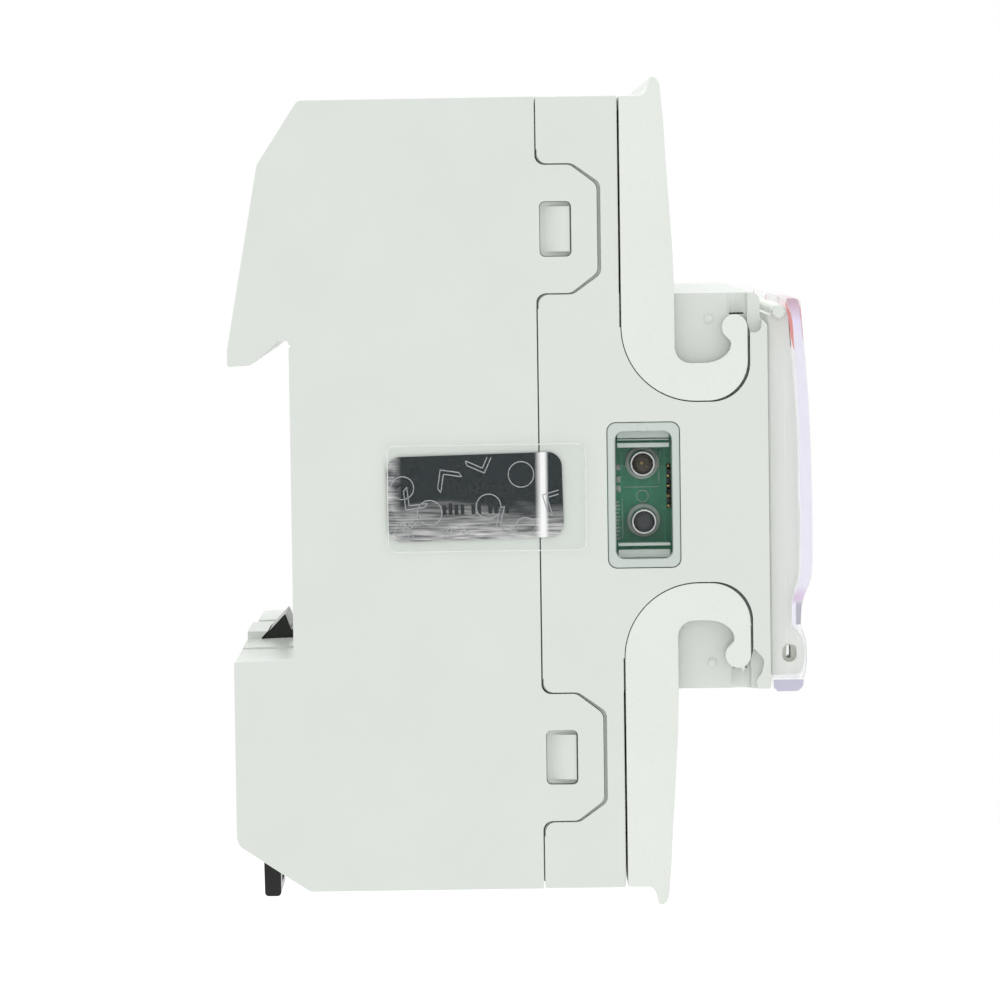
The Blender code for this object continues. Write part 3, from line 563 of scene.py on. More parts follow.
# Painted pink refraction of the red band, drawn as strips in the flap's cut edges.
pink_refraction_look = plastic("painted_pink_refraction", (0.70, 0.27, 0.25), 0.35, mottle=0.05)
silk_look = plastic("white_print", (0.62, 0.70, 0.66), 0.5, mottle=0.05)
lens_look = plastic("red_lens", (0.6, 0.02, 0.02), 0.12, mottle=0.1, grain=0.001, Transmission_Weight=0.5)
cell_look = plastic("display_cell", (0.30, 0.36, 0.27), 0.12, mottle=0.03, grain=0.0005, Coat_Weight=1.0)
emitter_look = plastic(
    "emitter_epoxy", (0.030, 0.024, 0.016), 0.25, mottle=0.4, grain=0.001, Specular_IOR_Level=0.3
)
receiver_look = plastic("receiver_epoxy", (0.042, 0.046, 0.050), 0.3, mottle=0.15, Specular_IOR_Level=0.3)
board_look = circuit_board("circuit_board")
copper_look = metal("bare_copper", (0.85, 0.42, 0.26), 0.3, (3, 3, 0.1))
zinc_look = metal("zinc_plate", (0.66, 0.665, 0.66), 0.32)
steel_look = metal("spring_steel", (0.5, 0.5, 0.5), 0.28)
gold_look = metal("gold_contact", (0.83, 0.60, 0.25), 0.28)
die_look = metal("dim_gold", (0.26, 0.20, 0.10), 0.3)
chrome_look = metal("bright_cup", (0.52, 0.53, 0.525), 0.22)
foil_look = embossed_foil("embossed_foil", lowest("calibration_label"), highest("calibration_label"))
emboss_look = metal("foil_ridge", (0.34, 0.35, 0.36), 0.3)
# A pale see-through line painted along clear edges as a painted edge highlight.
rim_highlight_look = plastic("film_rim", (0.76, 0.80, 0.78), 0.2, mottle=0.01, Alpha=0.6)
film_over_look = plastic("clear_film", (0.42, 0.50, 0.49), 0.2, mottle=0.01, grain=0.001, Alpha=0.03)


# ---------------------------------------------------------------- rear housing


def base_outline():
    return rounded([
        (30.5, TOP, 0), (1.4, TOP - 0.1, 0.9), (-3.3, 37.7, 1.6), (-7.0, 16.8, 0.5), (-7.0, 14.9, 0.25),
        (-4.4, 15.05, 0.35), (-1.15, SLOT_TOP, 0.25), (0, SLOT_TOP, 0.35), (0, SLOT_BOTTOM, 0.1),
        (FOOT_BACK, SLOT_BOTTOM - 0.2, 0.3), (FOOT_BACK, -39.5, 1.6), (1.5, -TOP, 1.0), (30.5, -TOP, 0),
    ])


def tab_outline(height, root, growth=0.0):
    """A snap tab's outline about its middle height. A growth of 1 gives the groove round it."""
    half, tip = 7.24 + 0.17 * growth, 4.95 + 0.2 * growth
    shoulder, nose = 32.05 + 0.25 * growth, 35.07 + 0.41 * growth
    lower = [
        (root - 1.4, -half - 1.6, 0), (root, -half - 1.6, 0), (root, -half, 1.15), (shoulder, -half, 1.4),
        (nose, -tip, 1.2),
    ]
    upper = [(depth, -rise, radius) for depth, rise, radius in reversed(lower)]
    return rounded([(depth, height + rise, radius) for depth, rise, radius in lower + upper])


def terminal_places():
    """The middle x and z of each main terminal."""
    for place in ("top", "bottom"):
        for line in ("l1", "l2", "l3", "neutral"):
            low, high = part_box(f"terminal_screw_{place}_{line}")
            yield place, line, (low.x + high.x) / 2 / MM, (low.z + high.z) / 2 / MM


def make_base_shell():
    shell = eased(prism("base_shell", base_outline(), "side", -SIDE, SIDE), 0.45, 4)
    width, tall = (-SIDE, SIDE), (-TOP, TOP)
    cut(shell, box("front_trim", grown(width, 1), (SEAM_BACK, 32), grown(tall, 1)))
    cut(shell, box("cavity", grown(width, -WALL), (WALL, 31), grown(tall, -WALL)))
    tongue = box("tongue", grown(width, -0.75), (SEAM_BACK - 1, SEAM_FRONT - 0.03), grown(tall, -0.8))
    cut(tongue, box("tongue_bore", grown(width, -1.85), (20, 32), grown(tall, -1.9)))
    join(shell, tongue)
    for up in (1, -1):
        reach = toward(up, 30, TOP - 1)
        join(shell, *[box("partition", (x - 0.7, x + 0.7), (WALL - 1, 27.6), reach) for x in (-17, 0, 17)])
    holes = []
    for _, _, x, z in terminal_places():
        reach = toward(math.copysign(1, z), TOP - 3, TOP + 1)
        holes.append(prism("wire_entry", rounded_rectangle((x, 16.9), (9.0, 7.0), 1.6), "top", *reach))
    cut(shell, *holes)
    channel = grown((-CLIP_HALF_WIDTH, CLIP_HALF_WIDTH), 0.35)
    groove = ((FOOT_BACK - 1, -0.4), (SLOT_BOTTOM - 0.32, -17.0))
    cut(
        shell,
        box("slot_relief", grown(width, 1), (-0.3, 0.2), (16.85, 17.3)),
        box("jaw_room", channel, (-5.65, 0.1), (-25.0, -18.0)),
        box("tail_guide", channel, (-5.65, -2.85), (-46.0, -24.5)),
        box("spring_pocket", (-1.9, 1.9), (-3.0, 0.3), (-29.5, -24.5)),
        *[box("ledge_groove", across, *groove) for across in both_sides(18.0, 21.0)],
    )
    back = FOOT_BACK + 0.12
    ridge = [(back, -19.25), (-5.02, -19.25), (-5.02, -18.4), (-4.28, -17.65), (back, -17.65)]
    join(shell, prism("clip_ridge", ridge, "side", *grown(channel, 0.25)))
    for height in (TAB_HEIGHT, -TAB_HEIGHT):
        join(shell, *pair("tab", tab_outline(height, SEAM_BACK - 0.02), SIDE - 1.6, SIDE))
        window = rounded_rectangle((TAB_WINDOW_DEPTH, height), (3.6, 6.25), 0.6)
        cut(shell, *pair("tab_window", window, SIDE - 1.85, SIDE + 0.5))
    shell.data.set_sharp_from_angle(angle=math.radians(30))
    finished(shell, body_look, ["base_housing"])


# ---------------------------------------------------------------- front housing


def cover_outline():
    """The stepped side view of the front housing."""
    return rounded([
        (26.0, TOP, 0), (SHELF, TOP, 0.3), (SHELF, BLOCK_TOP, 0.3), (53.4, BLOCK_TOP, 0.9),
        (53.4, 19.65, 0.3), (BLOCK_FRONT, 18.9, 0.3), (BLOCK_FRONT, -BLOCK_TOP, 0.3),
        (SHELF, -BLOCK_TOP, 0.3), (SHELF, -TOP, 0.3), (26.0, -TOP, 0),
    ])


def cavity_outline():
    shelf, front, top, block = SHELF - WALL, BLOCK_FRONT - WALL, TOP - WALL, BLOCK_TOP - WALL
    return [
        (26.1, top), (shelf, top), (shelf, block), (front, block),
        (front, -block), (shelf, -block), (shelf, -top), (26.1, -top),
    ]


def arm_pocket_outline():
    """The pocket in which a terminal cover's upper hinge arm lies and swings."""
    return (
        [(SHELF, 24.0), (SHELF, 18.8)]
        + arc((SHELF + 8.7, 18.8), 8.58, 180, 270, 24)
        + arc((47.77, 14.67), 4.45, 270, 360, 18)
        + [(52.22, 18.2), (51.95, 19.2), (51.95, 24.0)]
    )


def make_cover_shell():
    shell = eased(prism("cover_shell", cover_outline(), "side", -SIDE, SIDE), 0.2, 4)
    cut(shell, box("back_trim", (-SIDE - 1, SIDE + 1), (24, SEAM_FRONT), (-TOP - 1, TOP + 1)))
    inside = SIDE - BLOCK_WALL
    cut(shell, prism("cavity", cavity_outline(), "side", -inside, inside))
    cut_tab_seats(shell)
    cut_screw_wells(shell)
    cut_block_sides(shell)
    cut_front(shell)
    eased(shell, 0.07, 2)
    finished(shell, body_look, ["front_cover"])


def cut_tab_seats(shell):
    """The sunk seats of the rear housing's snap tabs, each with its ramped lug."""
    for height in (TAB_HEIGHT, -TAB_HEIGHT):
        cut(shell, *pair("tab_seat", tab_outline(height, SEAM_FRONT + 0.03, 0.15), TAB_FLOOR, SIDE + 0.5))
        cut(shell, *pair("tab_groove", tab_outline(height, SEAM_FRONT + 0.1, 1.0), SIDE - 0.75, SIDE + 0.5))
        pad = rounded_rectangle((TAB_WINDOW_DEPTH, height), (3.48, 6.13), 0.57)
        join(shell, *pair("lug_pad", pad, TAB_FLOOR - 0.4, SIDE - 1.0))
        foot, crest = TAB_FLOOR - 0.3, SIDE - 0.3
        ramp = [(foot, 29.1), (SIDE - 1.02, 29.1), (crest, 30.95), (crest, 31.98), (foot, 31.98)]
        for side in (-1, 1):
            outline = [(side * across, depth) for across, depth in ramp]
            join(shell, prism("snap_lug", outline, "top", height - 2.55, height + 2.55))


def cut_screw_wells(shell):
    middles = [(x, z) for _, _, x, z in terminal_places()]
    join(shell, *[rod("collar", "front", (31.3, SHELF - 1), middle, 5.0) for middle in middles])
    cut(shell, *[rod("well", "front", (30.5, SHELF + 1), middle, 3.9) for middle in middles])


def cut_block_sides(shell):
    """What is let into both side faces of the block: arm pockets, pin channels and notches."""
    upper_notch = [(51.7, 24.0)] + arc((52.68, 18.85), 0.87, 180, 360) + [(53.55, 24.0)]
    lower_notch = rounded([
        (51.7, -17.85, 0), (52.35, -17.9, 0.6), (53.5, -19.2, 0.9), (53.25, -20.5, 0.8),
        (52.55, -21.6, 0.6), (52.95, -24.0, 0), (51.7, -24.0, 0),
    ])
    depth, height = COVER_PIVOT
    outside = SIDE + 0.5
    for side in (-1, 1):
        pocket, notch = toward(side, POCKET_FLOOR, outside), toward(side, NOTCH_FLOOR, outside)
        arms = (arm_pocket_outline(), flipped(arm_pocket_outline()))
        cut(shell, *[prism("arm_pocket", outline, "side", *pocket) for outline in arms])
        cut(shell, *[prism("notch", outline, "side", *notch) for outline in (upper_notch, lower_notch)])
        deep = toward(side, PIN_HOLE_FLOOR, outside)
        for up in (1, -1):
            channel = toward(up, height + 1.55, 24)
            cut(
                shell,
                rod("pin_channel", "top", channel, (side * (POCKET_FLOOR + 0.8), 50.72), 1.3),
                rod("pin_hole", "side", deep, (depth, up * height), 1.15),
                box("moulding_slit", deep, (49.97, 51.6), toward(up, 20.06, 20.24)),
            )
        proud = toward(side, POCKET_FLOOR - 0.3, POCKET_FLOOR + 0.15)
        join(shell, *[rod("ejector_nub", "side", proud, (47.6, z), 0.45) for z in (19.6, -19.6)])


def cut_front(shell):
    """The infrared port in the left side, and the openings behind the faceplate."""
    port = rounded_rectangle(PORT_CENTRE, grown_size(PORT_SIZE, 0.14), 1.06)
    hollow = (BLOCK_FRONT - 3, BLOCK_FRONT + 1)
    pane_xs, _, pane_zs = spans("display_window")
    data_xs, _, data_zs = spans("data_terminal_block")
    cut(
        shell,
        prism("port_opening", port, "side", -SIDE - 1, -SIDE + 5),
        box("display_opening", grown(pane_xs, -PANE_REST), hollow, grown(pane_zs, -PANE_REST)),
        rod("lamp_hole", "front", hollow, (0, BUTTON_Z), LAMP_HOLE_RADIUS),
        box("data_opening", grown(data_xs, 0.3), (SHELF - 3, SHELF + 1), grown(data_zs, 0.3)),
        *[rod("stem_hole", "front", hollow, (place.x, BUTTON_Z), 1.6) for place in BUTTONS.values()],
    )


# ---------------------------------------------------------------- terminal covers


def terminal_cover_outline():
    """The upper cover from the side: its sheet, finger lip and hooked arm down to the pivot."""
    lip = [(40.15, 44.95), (40.55, 45.2), (40.84, 45.65), (40.97, 46.1), (41.04, 46.6), (41.18, 46.9)]
    lip += [(41.4, 47.05), (41.7, 47.0), (42.03, 46.7), (42.3, 46.2), (42.4, 45.4)]
    sheet = [(42.46, 44.4), (42.66, 42.3), (42.9, 37.6), (43.2, 33.0), (43.55, 27.4), (43.7, 22.8)]
    crook = arc((45.55, 16.45), 1.85, 180, 270, 10)
    neck = [(46.6, 14.6), (47.4, 14.62), (48.1, 14.75), (48.9, 15.05), (49.55, 15.55), (49.95, 16.1)]
    neck += [(50.1, 16.7), (50.0, 17.1)]
    bulb = arc(COVER_PIVOT, 1.45, 212, 0, 26)
    heel = arc((47.4, 14.9), 4.55, 0, -90, 18) + arc((COVER_BACK + 8.57, 18.8), 8.45, -90, -180, 24)
    return [(COVER_BACK + 0.12, 44.95)] + lip + sheet + crook + neck + bulb + heel


def make_terminal_cover(name, node, body, upside_down):
    turn = flipped if upside_down else list
    depth, height = COVER_PIVOT
    height = -height if upside_down else height
    cover = eased(prism(name, turn(terminal_cover_outline()), "side", -SIDE, SIDE), 0.14, 3)
    inner = [
        (36.5, 43.2), (40.6, 43.2), (41.0, 37.6), (41.4, 30.0), (41.6, BLOCK_TOP + 0.3),
        (53.5, BLOCK_TOP + 0.3), (53.5, 9.0), (36.5, 9.0),
    ]
    cut(cover, prism("inner_space", turn(inner), "side", -ARM_INNER_FACE, ARM_INNER_FACE))
    pins = [rod("pivot_pin", "side", x, (depth, height), 1.0, 32) for x in both_sides(SIDE - 3, SIDE - 1.2)]
    join(cover, *pins)
    eased(cover, 0.1, 2)
    if upside_down:
        nibs = [
            [(50.75, height - 1.3), (51.3, height - 1.3), (51.05, height - 1.95)],
            [(51.9, -15.0), (52.12, -15.1), (51.9, -15.2)],
        ]
        join(cover, *[prism("flash_nib", nib, "side", -SIDE + 0.05, -SIDE + 0.25) for nib in nibs])
    finished(cover, cover_look, [node], body)


# ---------------------------------------------------------------- clear flap and faceplate


def flap_outline():
    """The clear flap from the side, from its hinge ear down the front and back up."""
    front = [(58.3, 17.0), (58.5, 14.7), (58.8, 10.1), (59.0, 4.4), (59.1, -1.0), (59.1, -7.0)]
    shoulder = [(59.05, -8.6), (58.9, -9.9), (58.5, -11.1), (58.05, -12.1), (57.8, -13.2), (57.7, -15.1)]
    boss = [(57.85, -15.9), (58.15, -16.6), (58.3, -17.7), (58.35, -19.2), (58.2, -20.5), (57.9, -21.1)]
    return (
        [(54.4, 18.95)]
        + arc(FLAP_PIVOT, 1.7, 230, 90, 24)
        + arc((57.2, 21.2), 0.8, 90, 0, 8)
        + front + shoulder + boss
        + arc((56.9, -21.9), 0.98, 0, -90, 8)
        + [(54.9, -22.88), (54.4, -22.4)]
    )


def flap_hollow():
    return [
        (52.0, -21.45), (57.5, -21.45), (57.5, -16.7), (56.8, -15.4), (56.8, -12.9), (57.7, -9.6),
        (57.75, -4.0), (57.6, 4.4), (57.4, 10.1), (57.1, 14.7), (56.85, 19.5), (56.3, 21.2),
        (55.75, 21.2), (55.75, 24.0), (52.0, 24.0),
    ]


def seal_lug_outline(g=0.0):
    """The faceplate's lug that fills the flap's boss round the seal hole, grown by g."""
    low, front = -21.1 - g, 58.12 + g
    return [
        (55.2 - g, low), (57.4 + g, low), (57.88 + g, -20.6), (front, -19.3), (front, -17.9),
        (57.92 + g, -16.9 + g), (57.42 + g, -16.2 + g), (56.5, -15.75 + g), (55.2 - g, -15.75 + g),
    ]


def seal_hole(reach, width=1.66, tall=2.1):
    return prism("seal_hole", rounded_rectangle((56.4, -18.6), (width, tall), width * 0.48), "side", *reach)


def make_flap():
    flap = eased(prism("flap_shell", flap_outline(), "side", -FLAP_SIDE, FLAP_SIDE), 0.25, 3)
    inner = SIDE - 1.6
    cut(flap, prism("inner_space", flap_hollow(), "side", -inner, inner))
    cut(flap, *pair("lug_room", seal_lug_outline(0.1), inner - 6.6, inner))
    for x in both_sides(inner - 1, SIDE + 1):
        cut(flap, rod("ear_hole", "side", x, FLAP_PIVOT, 0.9), seal_hole(x))
    eased(flap, 0.08, 2)
    finished(flap, flap_look, ["front_flap"], "flap")
    band = [(57.06, 16.2), (56.88, 19.4), (56.67, 20.2), (56.58, 20.17), (56.79, 19.38), (56.97, 16.2)]
    half = inner - 2.2
    finished(prism("flap_band", band, "side", -half, half), red_print_look, body="flap")
    front = [
        (58.24, 17.0), (58.44, 14.7), (58.74, 10.1), (58.94, 4.4), (59.04, -1.0), (59.04, -7.0),
        (58.98, -8.6), (58.83, -9.9), (58.43, -11.1), (57.98, -12.1), (57.73, -13.2), (57.62, -15.2),
    ]
    back = [
        (56.55, -15.3), (56.65, -12.9), (57.7, -9.6), (57.77, -4.0), (57.72, 4.4), (57.60, 10.1),
        (57.32, 15.2),
    ]
    hinge_end = [(57.24, 16.6), (57.08, 19.24), (56.85, 20.3), (56.5, 20.9), (56.38, 21.66), (56.46, 21.78)]
    hinge_end += arc((57.1, 21.08), 0.74, 80, 5, 6)
    sill = [(54.5, -21.5), (57.9, -21.5), (57.85, -22.2), (57.4, -22.7), (56.9, -22.8)]
    sill += [(54.95, -22.8), (54.5, -22.35)]
    boss = [(57.74, -15.8), (58.05, -16.6), (58.2, -17.7), (58.25, -19.2), (58.1, -20.5), (57.85, -21.3)]
    strips = [
        [(57.84, 20.95), (57.95, 20.85), (58.27, 17.1), (58.13, 17.05), (57.80, 20.3)],
        [
            (56.34, 21.5), (56.47, 20.87), (56.82, 20.28), (57.05, 19.22), (57.2, 16.6), (57.26, 16.0),
            (57.18, 16.0), (56.87, 17.3), (56.66, 19.24), (56.48, 20.1), (56.26, 21.1),
        ],
    ]
    for side in (-1, 1):
        skin = toward(side, FLAP_SIDE - 0.06, FLAP_SIDE - 0.02)
        strip_skin = toward(side, FLAP_SIDE - 0.12, FLAP_SIDE - 0.08)
        wall = front + back + (hinge_end if side < 0 else [])
        for piece, look in (
            # Painted lilac and pink refraction, with painted shade lines, on the flap's side skins.
            (prisms("flap_edges", [wall, sill], "side", *skin), edge_look),
            # A painted edge highlight round the seal boss.
            (strokes("flap_boss_edge", [(boss, False)], 0.12, "side", *skin), rim_highlight_look),
            # Strips of painted pink refraction of the red band.
            (prisms("flap_edge_strips", strips, "side", *strip_skin), pink_refraction_look),
        ):
            finished(piece, look, body="flap")


def scalloped(centre, radius, lobes=9, steps=54):
    turns = [2 * math.pi * i / steps for i in range(steps)]
    return [
        (centre[0] + (radius + 0.075 * math.cos(lobes * a)) * math.cos(a),
         centre[1] + (radius + 0.075 * math.cos(lobes * a)) * math.sin(a))
        for a in turns
    ]


def button_holes(along):
    return [
        rod("button_hole", "front", along, (place.x, BUTTON_Z), BUTTON_HOLE_RADIUS)
        for place in BUTTONS.values()
    ]


def make_faceplate():
    back, front = BLOCK_FRONT + 0.1, 56.2
    half = SIDE - 2.1
    outline = [(back, -21.15), (front, -21.15)] + arc(FLAP_PIVOT, 0.8, -22, 202, 14) + [(back, 20.0)]
    shell = eased(prism("faceplate_shell", outline, "side", -half, half), 0.15, 2)
    for side in (-1, 1):
        lug = toward(side, half - 5.4, half - 0.1)
        join(shell, prism("seal_lug", seal_lug_outline(), "side", *lug))
        cut(shell, seal_hole(toward(side, half - 1.5, half + 1)), seal_hole(grown(lug, 1), 0.5, 1.55))
    rim = [
        (front - 0.6, -15.8), (56.7, -15.8), (56.7, -12.9), (57.58, -9.6), (57.63, -4.0), (57.48, 4.4),
        (57.28, 10.1), (56.98, 14.7), (56.68, 19.6), (56.38, 20.65), (front - 0.6, 20.65),
    ]
    join(shell, *pair("label_rim", rim, half - 0.8, half - 0.05))
    through = (back - 1, front + 1)
    pane_xs, _, pane_zs = spans("display_window")
    cut(
        shell,
        box("display_opening", grown(pane_xs, -PANE_REST), through, grown(pane_zs, -PANE_REST)),
        box("window_seat", grown(pane_xs, 0.15), (front - 0.8, front + 1), grown(pane_zs, 0.15)),
        rod("lamp_hole", "front", through, (0, BUTTON_Z), LAMP_HOLE_RADIUS),
        *button_holes(through),
    )
    eased(shell, 0.08, 2)
    finished(shell, faceplate_look, ["faceplate"])
    for side, (low, high) in zip(("left", "right"), both_sides(half - 0.02, FLAP_SIDE + 0.05)):
        pin = eased(prism(f"flap_pin_{side}", scalloped(FLAP_PIVOT, 0.70), "side", low, high), 0.06, 2)
        finished(pin, body_look)


# ---------------------------------------------------------------- display, label and buttons


def zero_bars(left, low, width, height, bar):
    """The six bars of a seven-bar zero."""
    middle, right = left + width / 2, left + width
    across, up = width - bar * 1.3, height / 2 - bar * 1.3
    upper, lower = low + height / 2 + height / 4, low + height / 2 - height / 4
    places = [
        ((middle, low + height), (across, bar)), ((right, upper), (bar, up)), ((right, lower), (bar, up)),
        ((middle, low), (across, bar)), ((left, lower), (bar, up)), ((left, upper), (bar, up)),
    ]
    return [rounded_rectangle(*place, bar * 0.39, 3) for place in places]


def make_display():
    dress(frame["nodes"]["lcd_panel"], cell_look)
    face = -lowest("lcd_panel").y
    bars = []
    for i in range(7):
        bars += zero_bars(-16.5 + 4.4 * i, 5.2, 2.6, 6.0, 0.55)
    bars.append(rectangle((13.75, 3.0), (0.7, 0.7)))
    bars += [rectangle((-17 + 2.4 * i, 2.6), (1.4, 0.35)) for i in range(6)]
    finished(prisms("display_digits", bars, "front", face + 0.02, face + 0.06), print_look)
    window = eased(plate("display_pane", "display_window", "front", 0.5), 0.12, 3)
    finished(window, window_look, ["display_window"])


def make_front_label():
    """The printed film, open over the display, the buttons and the lamp, and its generic print."""
    label = plate("label_film", "front_label", "front", 1.0)
    film = spans("front_label")[1]
    through = grown(film, 0.5)
    pane_centre, pane_size = face_of("display_window", "front")
    pane, pane_size = (0, pane_centre[1]), grown_size(pane_size, -2 * PANE_REST)
    cut(
        label,
        prism("display_opening", rounded_rectangle(pane, pane_size, 0.8), "front", *through),
        rod("lamp_hole", "front", through, (0, BUTTON_Z), LAMP_HOLE_RADIUS),
        *button_holes(through),
    )
    finished(label, film_look, ["front_label"])
    ink = (film[1] + 0.01, film[1] + 0.04)
    loop = rounded_rectangle(pane, grown_size(pane_size, 1.2), 1.2)
    rings = [(loop, True), (arc((0, BUTTON_Z), 2.1, 0, 350, 35), True)]
    rings += [(arc((place.x, BUTTON_Z), 3.2, 0, 354, 59), True) for place in BUTTONS.values()]
    finished(strokes("label_rings", rings, 0.35, "front", *ink), print_look)
    marks = []
    for sign, place in ((-1, BUTTONS["left"]), (1, BUTTONS["right"])):
        tip = place.x + sign * 5.6
        base = tip - sign * 1.5
        marks.append([(tip, BUTTON_Z), (base, BUTTON_Z + 0.9), (base, BUTTON_Z - 0.9)][::sign])
    marks += [rectangle((0, -11.2), (58, 0.25))]
    words = ((-24, 9), (-12, 7), (1, 11), (15, 8), (25, 6))
    marks += [rectangle((x, z), (length, 0.5)) for z in (-12.6, -13.9) for x, length in words]
    marks += [rectangle((x, z), (1.2, 0.45)) for x in (-29, 29) for z in (12, 9, 6, 3)]
    finished(prisms("label_print", marks, "front", *ink), print_look)


def make_buttons():
    for side, place in BUTTONS.items():
        node = f"scroll_button_{side}"
        front = -lowest(node).y
        profile = [
            (0, -0.22), (1.2, -0.14), (1.9, -0.02), (2.1, 0), (2.24, -0.07), (2.3, -0.22), (2.3, -2.05),
            (1.3, -2.05), (1.3, -4.7), (2.2, -4.75), (2.2, -5.5), (1.3, -5.55), (1.3, -7.5), (1.2, -7.6),
            (0, -7.6),
        ]
        button = turned(f"button_{side}", profile, point(place.x, front, place.z), (0, -1, 0), 64)
        finished(button, button_look, [node], f"{side}_button")


def make_lamp_lens():
    low, high = lowest("pulse_lamp_lens"), highest("pulse_lamp_lens")
    length = high.y - low.y
    profile = [(0, 0)] + arc((0, -1.2), 1.2, 75, 0, 10)
    profile += [(1.2, 0.05 - length), (1.15, -length), (0, -length)]
    middle = (low + high) / 2
    lens = turned("lamp_lens", profile, point(middle.x, -low.y, middle.z), (0, -1, 0), 48)
    finished(lens, lens_look, ["pulse_lamp_lens"])


# ---------------------------------------------------------------- infrared port


def make_port_window():
    """A frosted border round a clear pane, with the clear feet that clip it in, seen through it."""
    depth, height = PORT_CENTRE
    wide, tall = PORT_SIZE
    opening = rounded_rectangle(PORT_CENTRE, (wide - 1.75, tall - 2.0), 1.0)
    border = prism("port_border", rounded_rectangle(PORT_CENTRE, PORT_SIZE, 1.0), "side", -SIDE, -SIDE + 1.1)
    cut(border, prism("port_pane_opening", opening, "side", -SIDE - 1, -SIDE + 2))
    eased(border, 0.22, 4)
    finished(border, frosted_look, ["optical_window"])
    pane = rounded_rectangle(PORT_CENTRE, (wide - 1.85, tall - 2.1), 0.95)
    pane = prism("port_pane", pane, "side", -SIDE + 0.3, -SIDE + 0.8)
    finished(eased(pane, 0.1, 2), window_look)
    across, along = (-SIDE + 0.9, -SIDE + 2.4), grown((depth, depth), 2.95)
    feet, *bars = [
        box("port_feet", across, along, (height + rise - thick / 2, height + rise + thick / 2))
        for rise, thick in ((6.85, 0.8), (6.25, 0.12), (5.62, 0.5), (-5.65, 0.34), (-6.7, 0.9))
    ]
    join(feet, *bars)
    finished(eased(feet, 0.05, 3), hazy_look)


def make_diodes():
    """Two round diodes: a dark domed body in a bright ring, standing in a pale flange."""
    for name, node, look, slot in (
        ("emitter", "infrared_emitter", emitter_look, "diode_clear"),
        ("receiver", "infrared_receiver", receiver_look, "diode_dark"),
    ):
        front, back = spans(node)[0]
        place = point(back, *face_of(node, "side")[0])
        length = back - front
        flange = [(0, 0), (1.88, 0), (1.9, 0.08), (1.9, 0.9), (1.8, 1.0), (1.5, 1.02), (0, 1.02)]
        body = [(0, 0.9), (1.1, 0.9), (1.1, length - 0.5)]
        body += [(0.95, length - 0.22), (0.6, length - 0.06), (0, length)]
        ring = [(1.1, 0.8), (1.5, 0.8), (1.52, 0.9), (1.46, length - 0.45), (1.36, length - 0.3)]
        ring += [(1.2, length - 0.34), (1.1, length - 0.5)]
        finished(turned(f"{name}_flange", flange, place, (-1, 0, 0), 56), hazy_look)
        finished(turned(f"{name}_body", body, place, (-1, 0, 0), 56), look, [node])
        finished(turned(f"{name}_ring", ring, place, (-1, 0, 0), 56, True), chrome_look)
    depth, z = face_of("infrared_emitter", "side")[0]
    front = lowest("infrared_emitter").x
    die = [rectangle((depth - 0.12, z + 0.12), (0.5, 0.42)), rectangle((depth + 0.38, z - 0.3), (0.34, 0.14))]
    finished(prisms("emitter_die", die, "side", front - 0.02, front + 0.08), die_look)


def make_optical_board():
    """The green board behind the port, with plain print and a row of parts along one edge."""
    board = eased(plate("port_board", "optical_board", "side", 0.4), 0.08, 2)
    finished(board, board_look, ["optical_board"])
    face = lowest("optical_board").x
    ink = (face - 0.05, face - 0.01)
    depth, height = PORT_CENTRE
    code = [rectangle((depth - 2.75, height + z), (0.55, 0.75)) for z in (2.9, 1.5, 0.4)]
    for i in range(11):
        code.append(rectangle((depth - 2.95, height - 1.1 - 0.42 * i), (0.7 if i % 3 else 0.45, 0.2)))
    finished(prisms("board_print", code, "side", *ink), silk_look)
    lines = [
        ([(depth + 1.9, height + 4.8), (depth + 1.9, height + 1.0)], False),
        ([(depth - 2.6, height + 3.0), (depth + 2.6, height + 3.0)], False),
        ([(depth - 2.2, height + 0.6), (depth + 1.9, height + 0.6)], False),
        (arc((depth, height - 0.45), 0.66, 0, 350, 30), True),
        ([(depth - 2.3, height - 0.7), (depth - 2.3, height - 5.2), (depth - 3.2, height - 5.2)], False),
    ]
    finished(strokes("board_lines", lines, 0.07, "side", *ink), silk_look)
    pads = [rectangle((depth + 3.0, height + 3.0 - 1.15 * i), (0.5, 0.5)) for i in range(5)]
    finished(prisms("board_pads", pads, "side", face - 0.12, face - 0.01), gold_look)
    chips = [rectangle((depth + 3.0, height + 2.42 - 1.15 * i), (0.5, 0.55)) for i in range(4)]
    finished(prisms("board_parts", chips, "side", face - 0.5, face - 0.01), dark_look)


# ---------------------------------------------------------------- side label


def chevron(centre, size, degrees):
    """A plain chevron's outline, turned."""
    half = size / 2
    shape = [(-1, -0.5), (0, 0.5), (1, -0.5), (1, -0.9), (0, 0.1), (-1, -0.9)]
    return turned_by([(centre[0] + a * half, centre[1] + b * half) for a, b in shape], degrees, centre)


def clipped(path, centre, size):
    """The stretches of a closed path that lie inside a rectangle, each (points, closed)."""
    fine = []
    for i, here in enumerate(path):
        start, end = Vector(here), Vector(path[(i + 1) % len(path)])
        steps = max(1, round((end - start).length / 0.2))
        fine += [start.lerp(end, k / steps) for k in range(steps)]
    inside = [abs(p.x - centre[0]) < size[0] / 2 and abs(p.y - centre[1]) < size[1] / 2 for p in fine]
    if all(inside):
        return [(fine, True)]
    first = inside.index(False)
    runs = [[]]
    for place, kept in zip(fine[first:] + fine[:first], inside[first:] + inside[:first]):
        if kept:
            runs[-1].append(place)
        elif runs[-1]:
            runs.append([])
    return [(run, False) for run in runs if len(run) > 2]


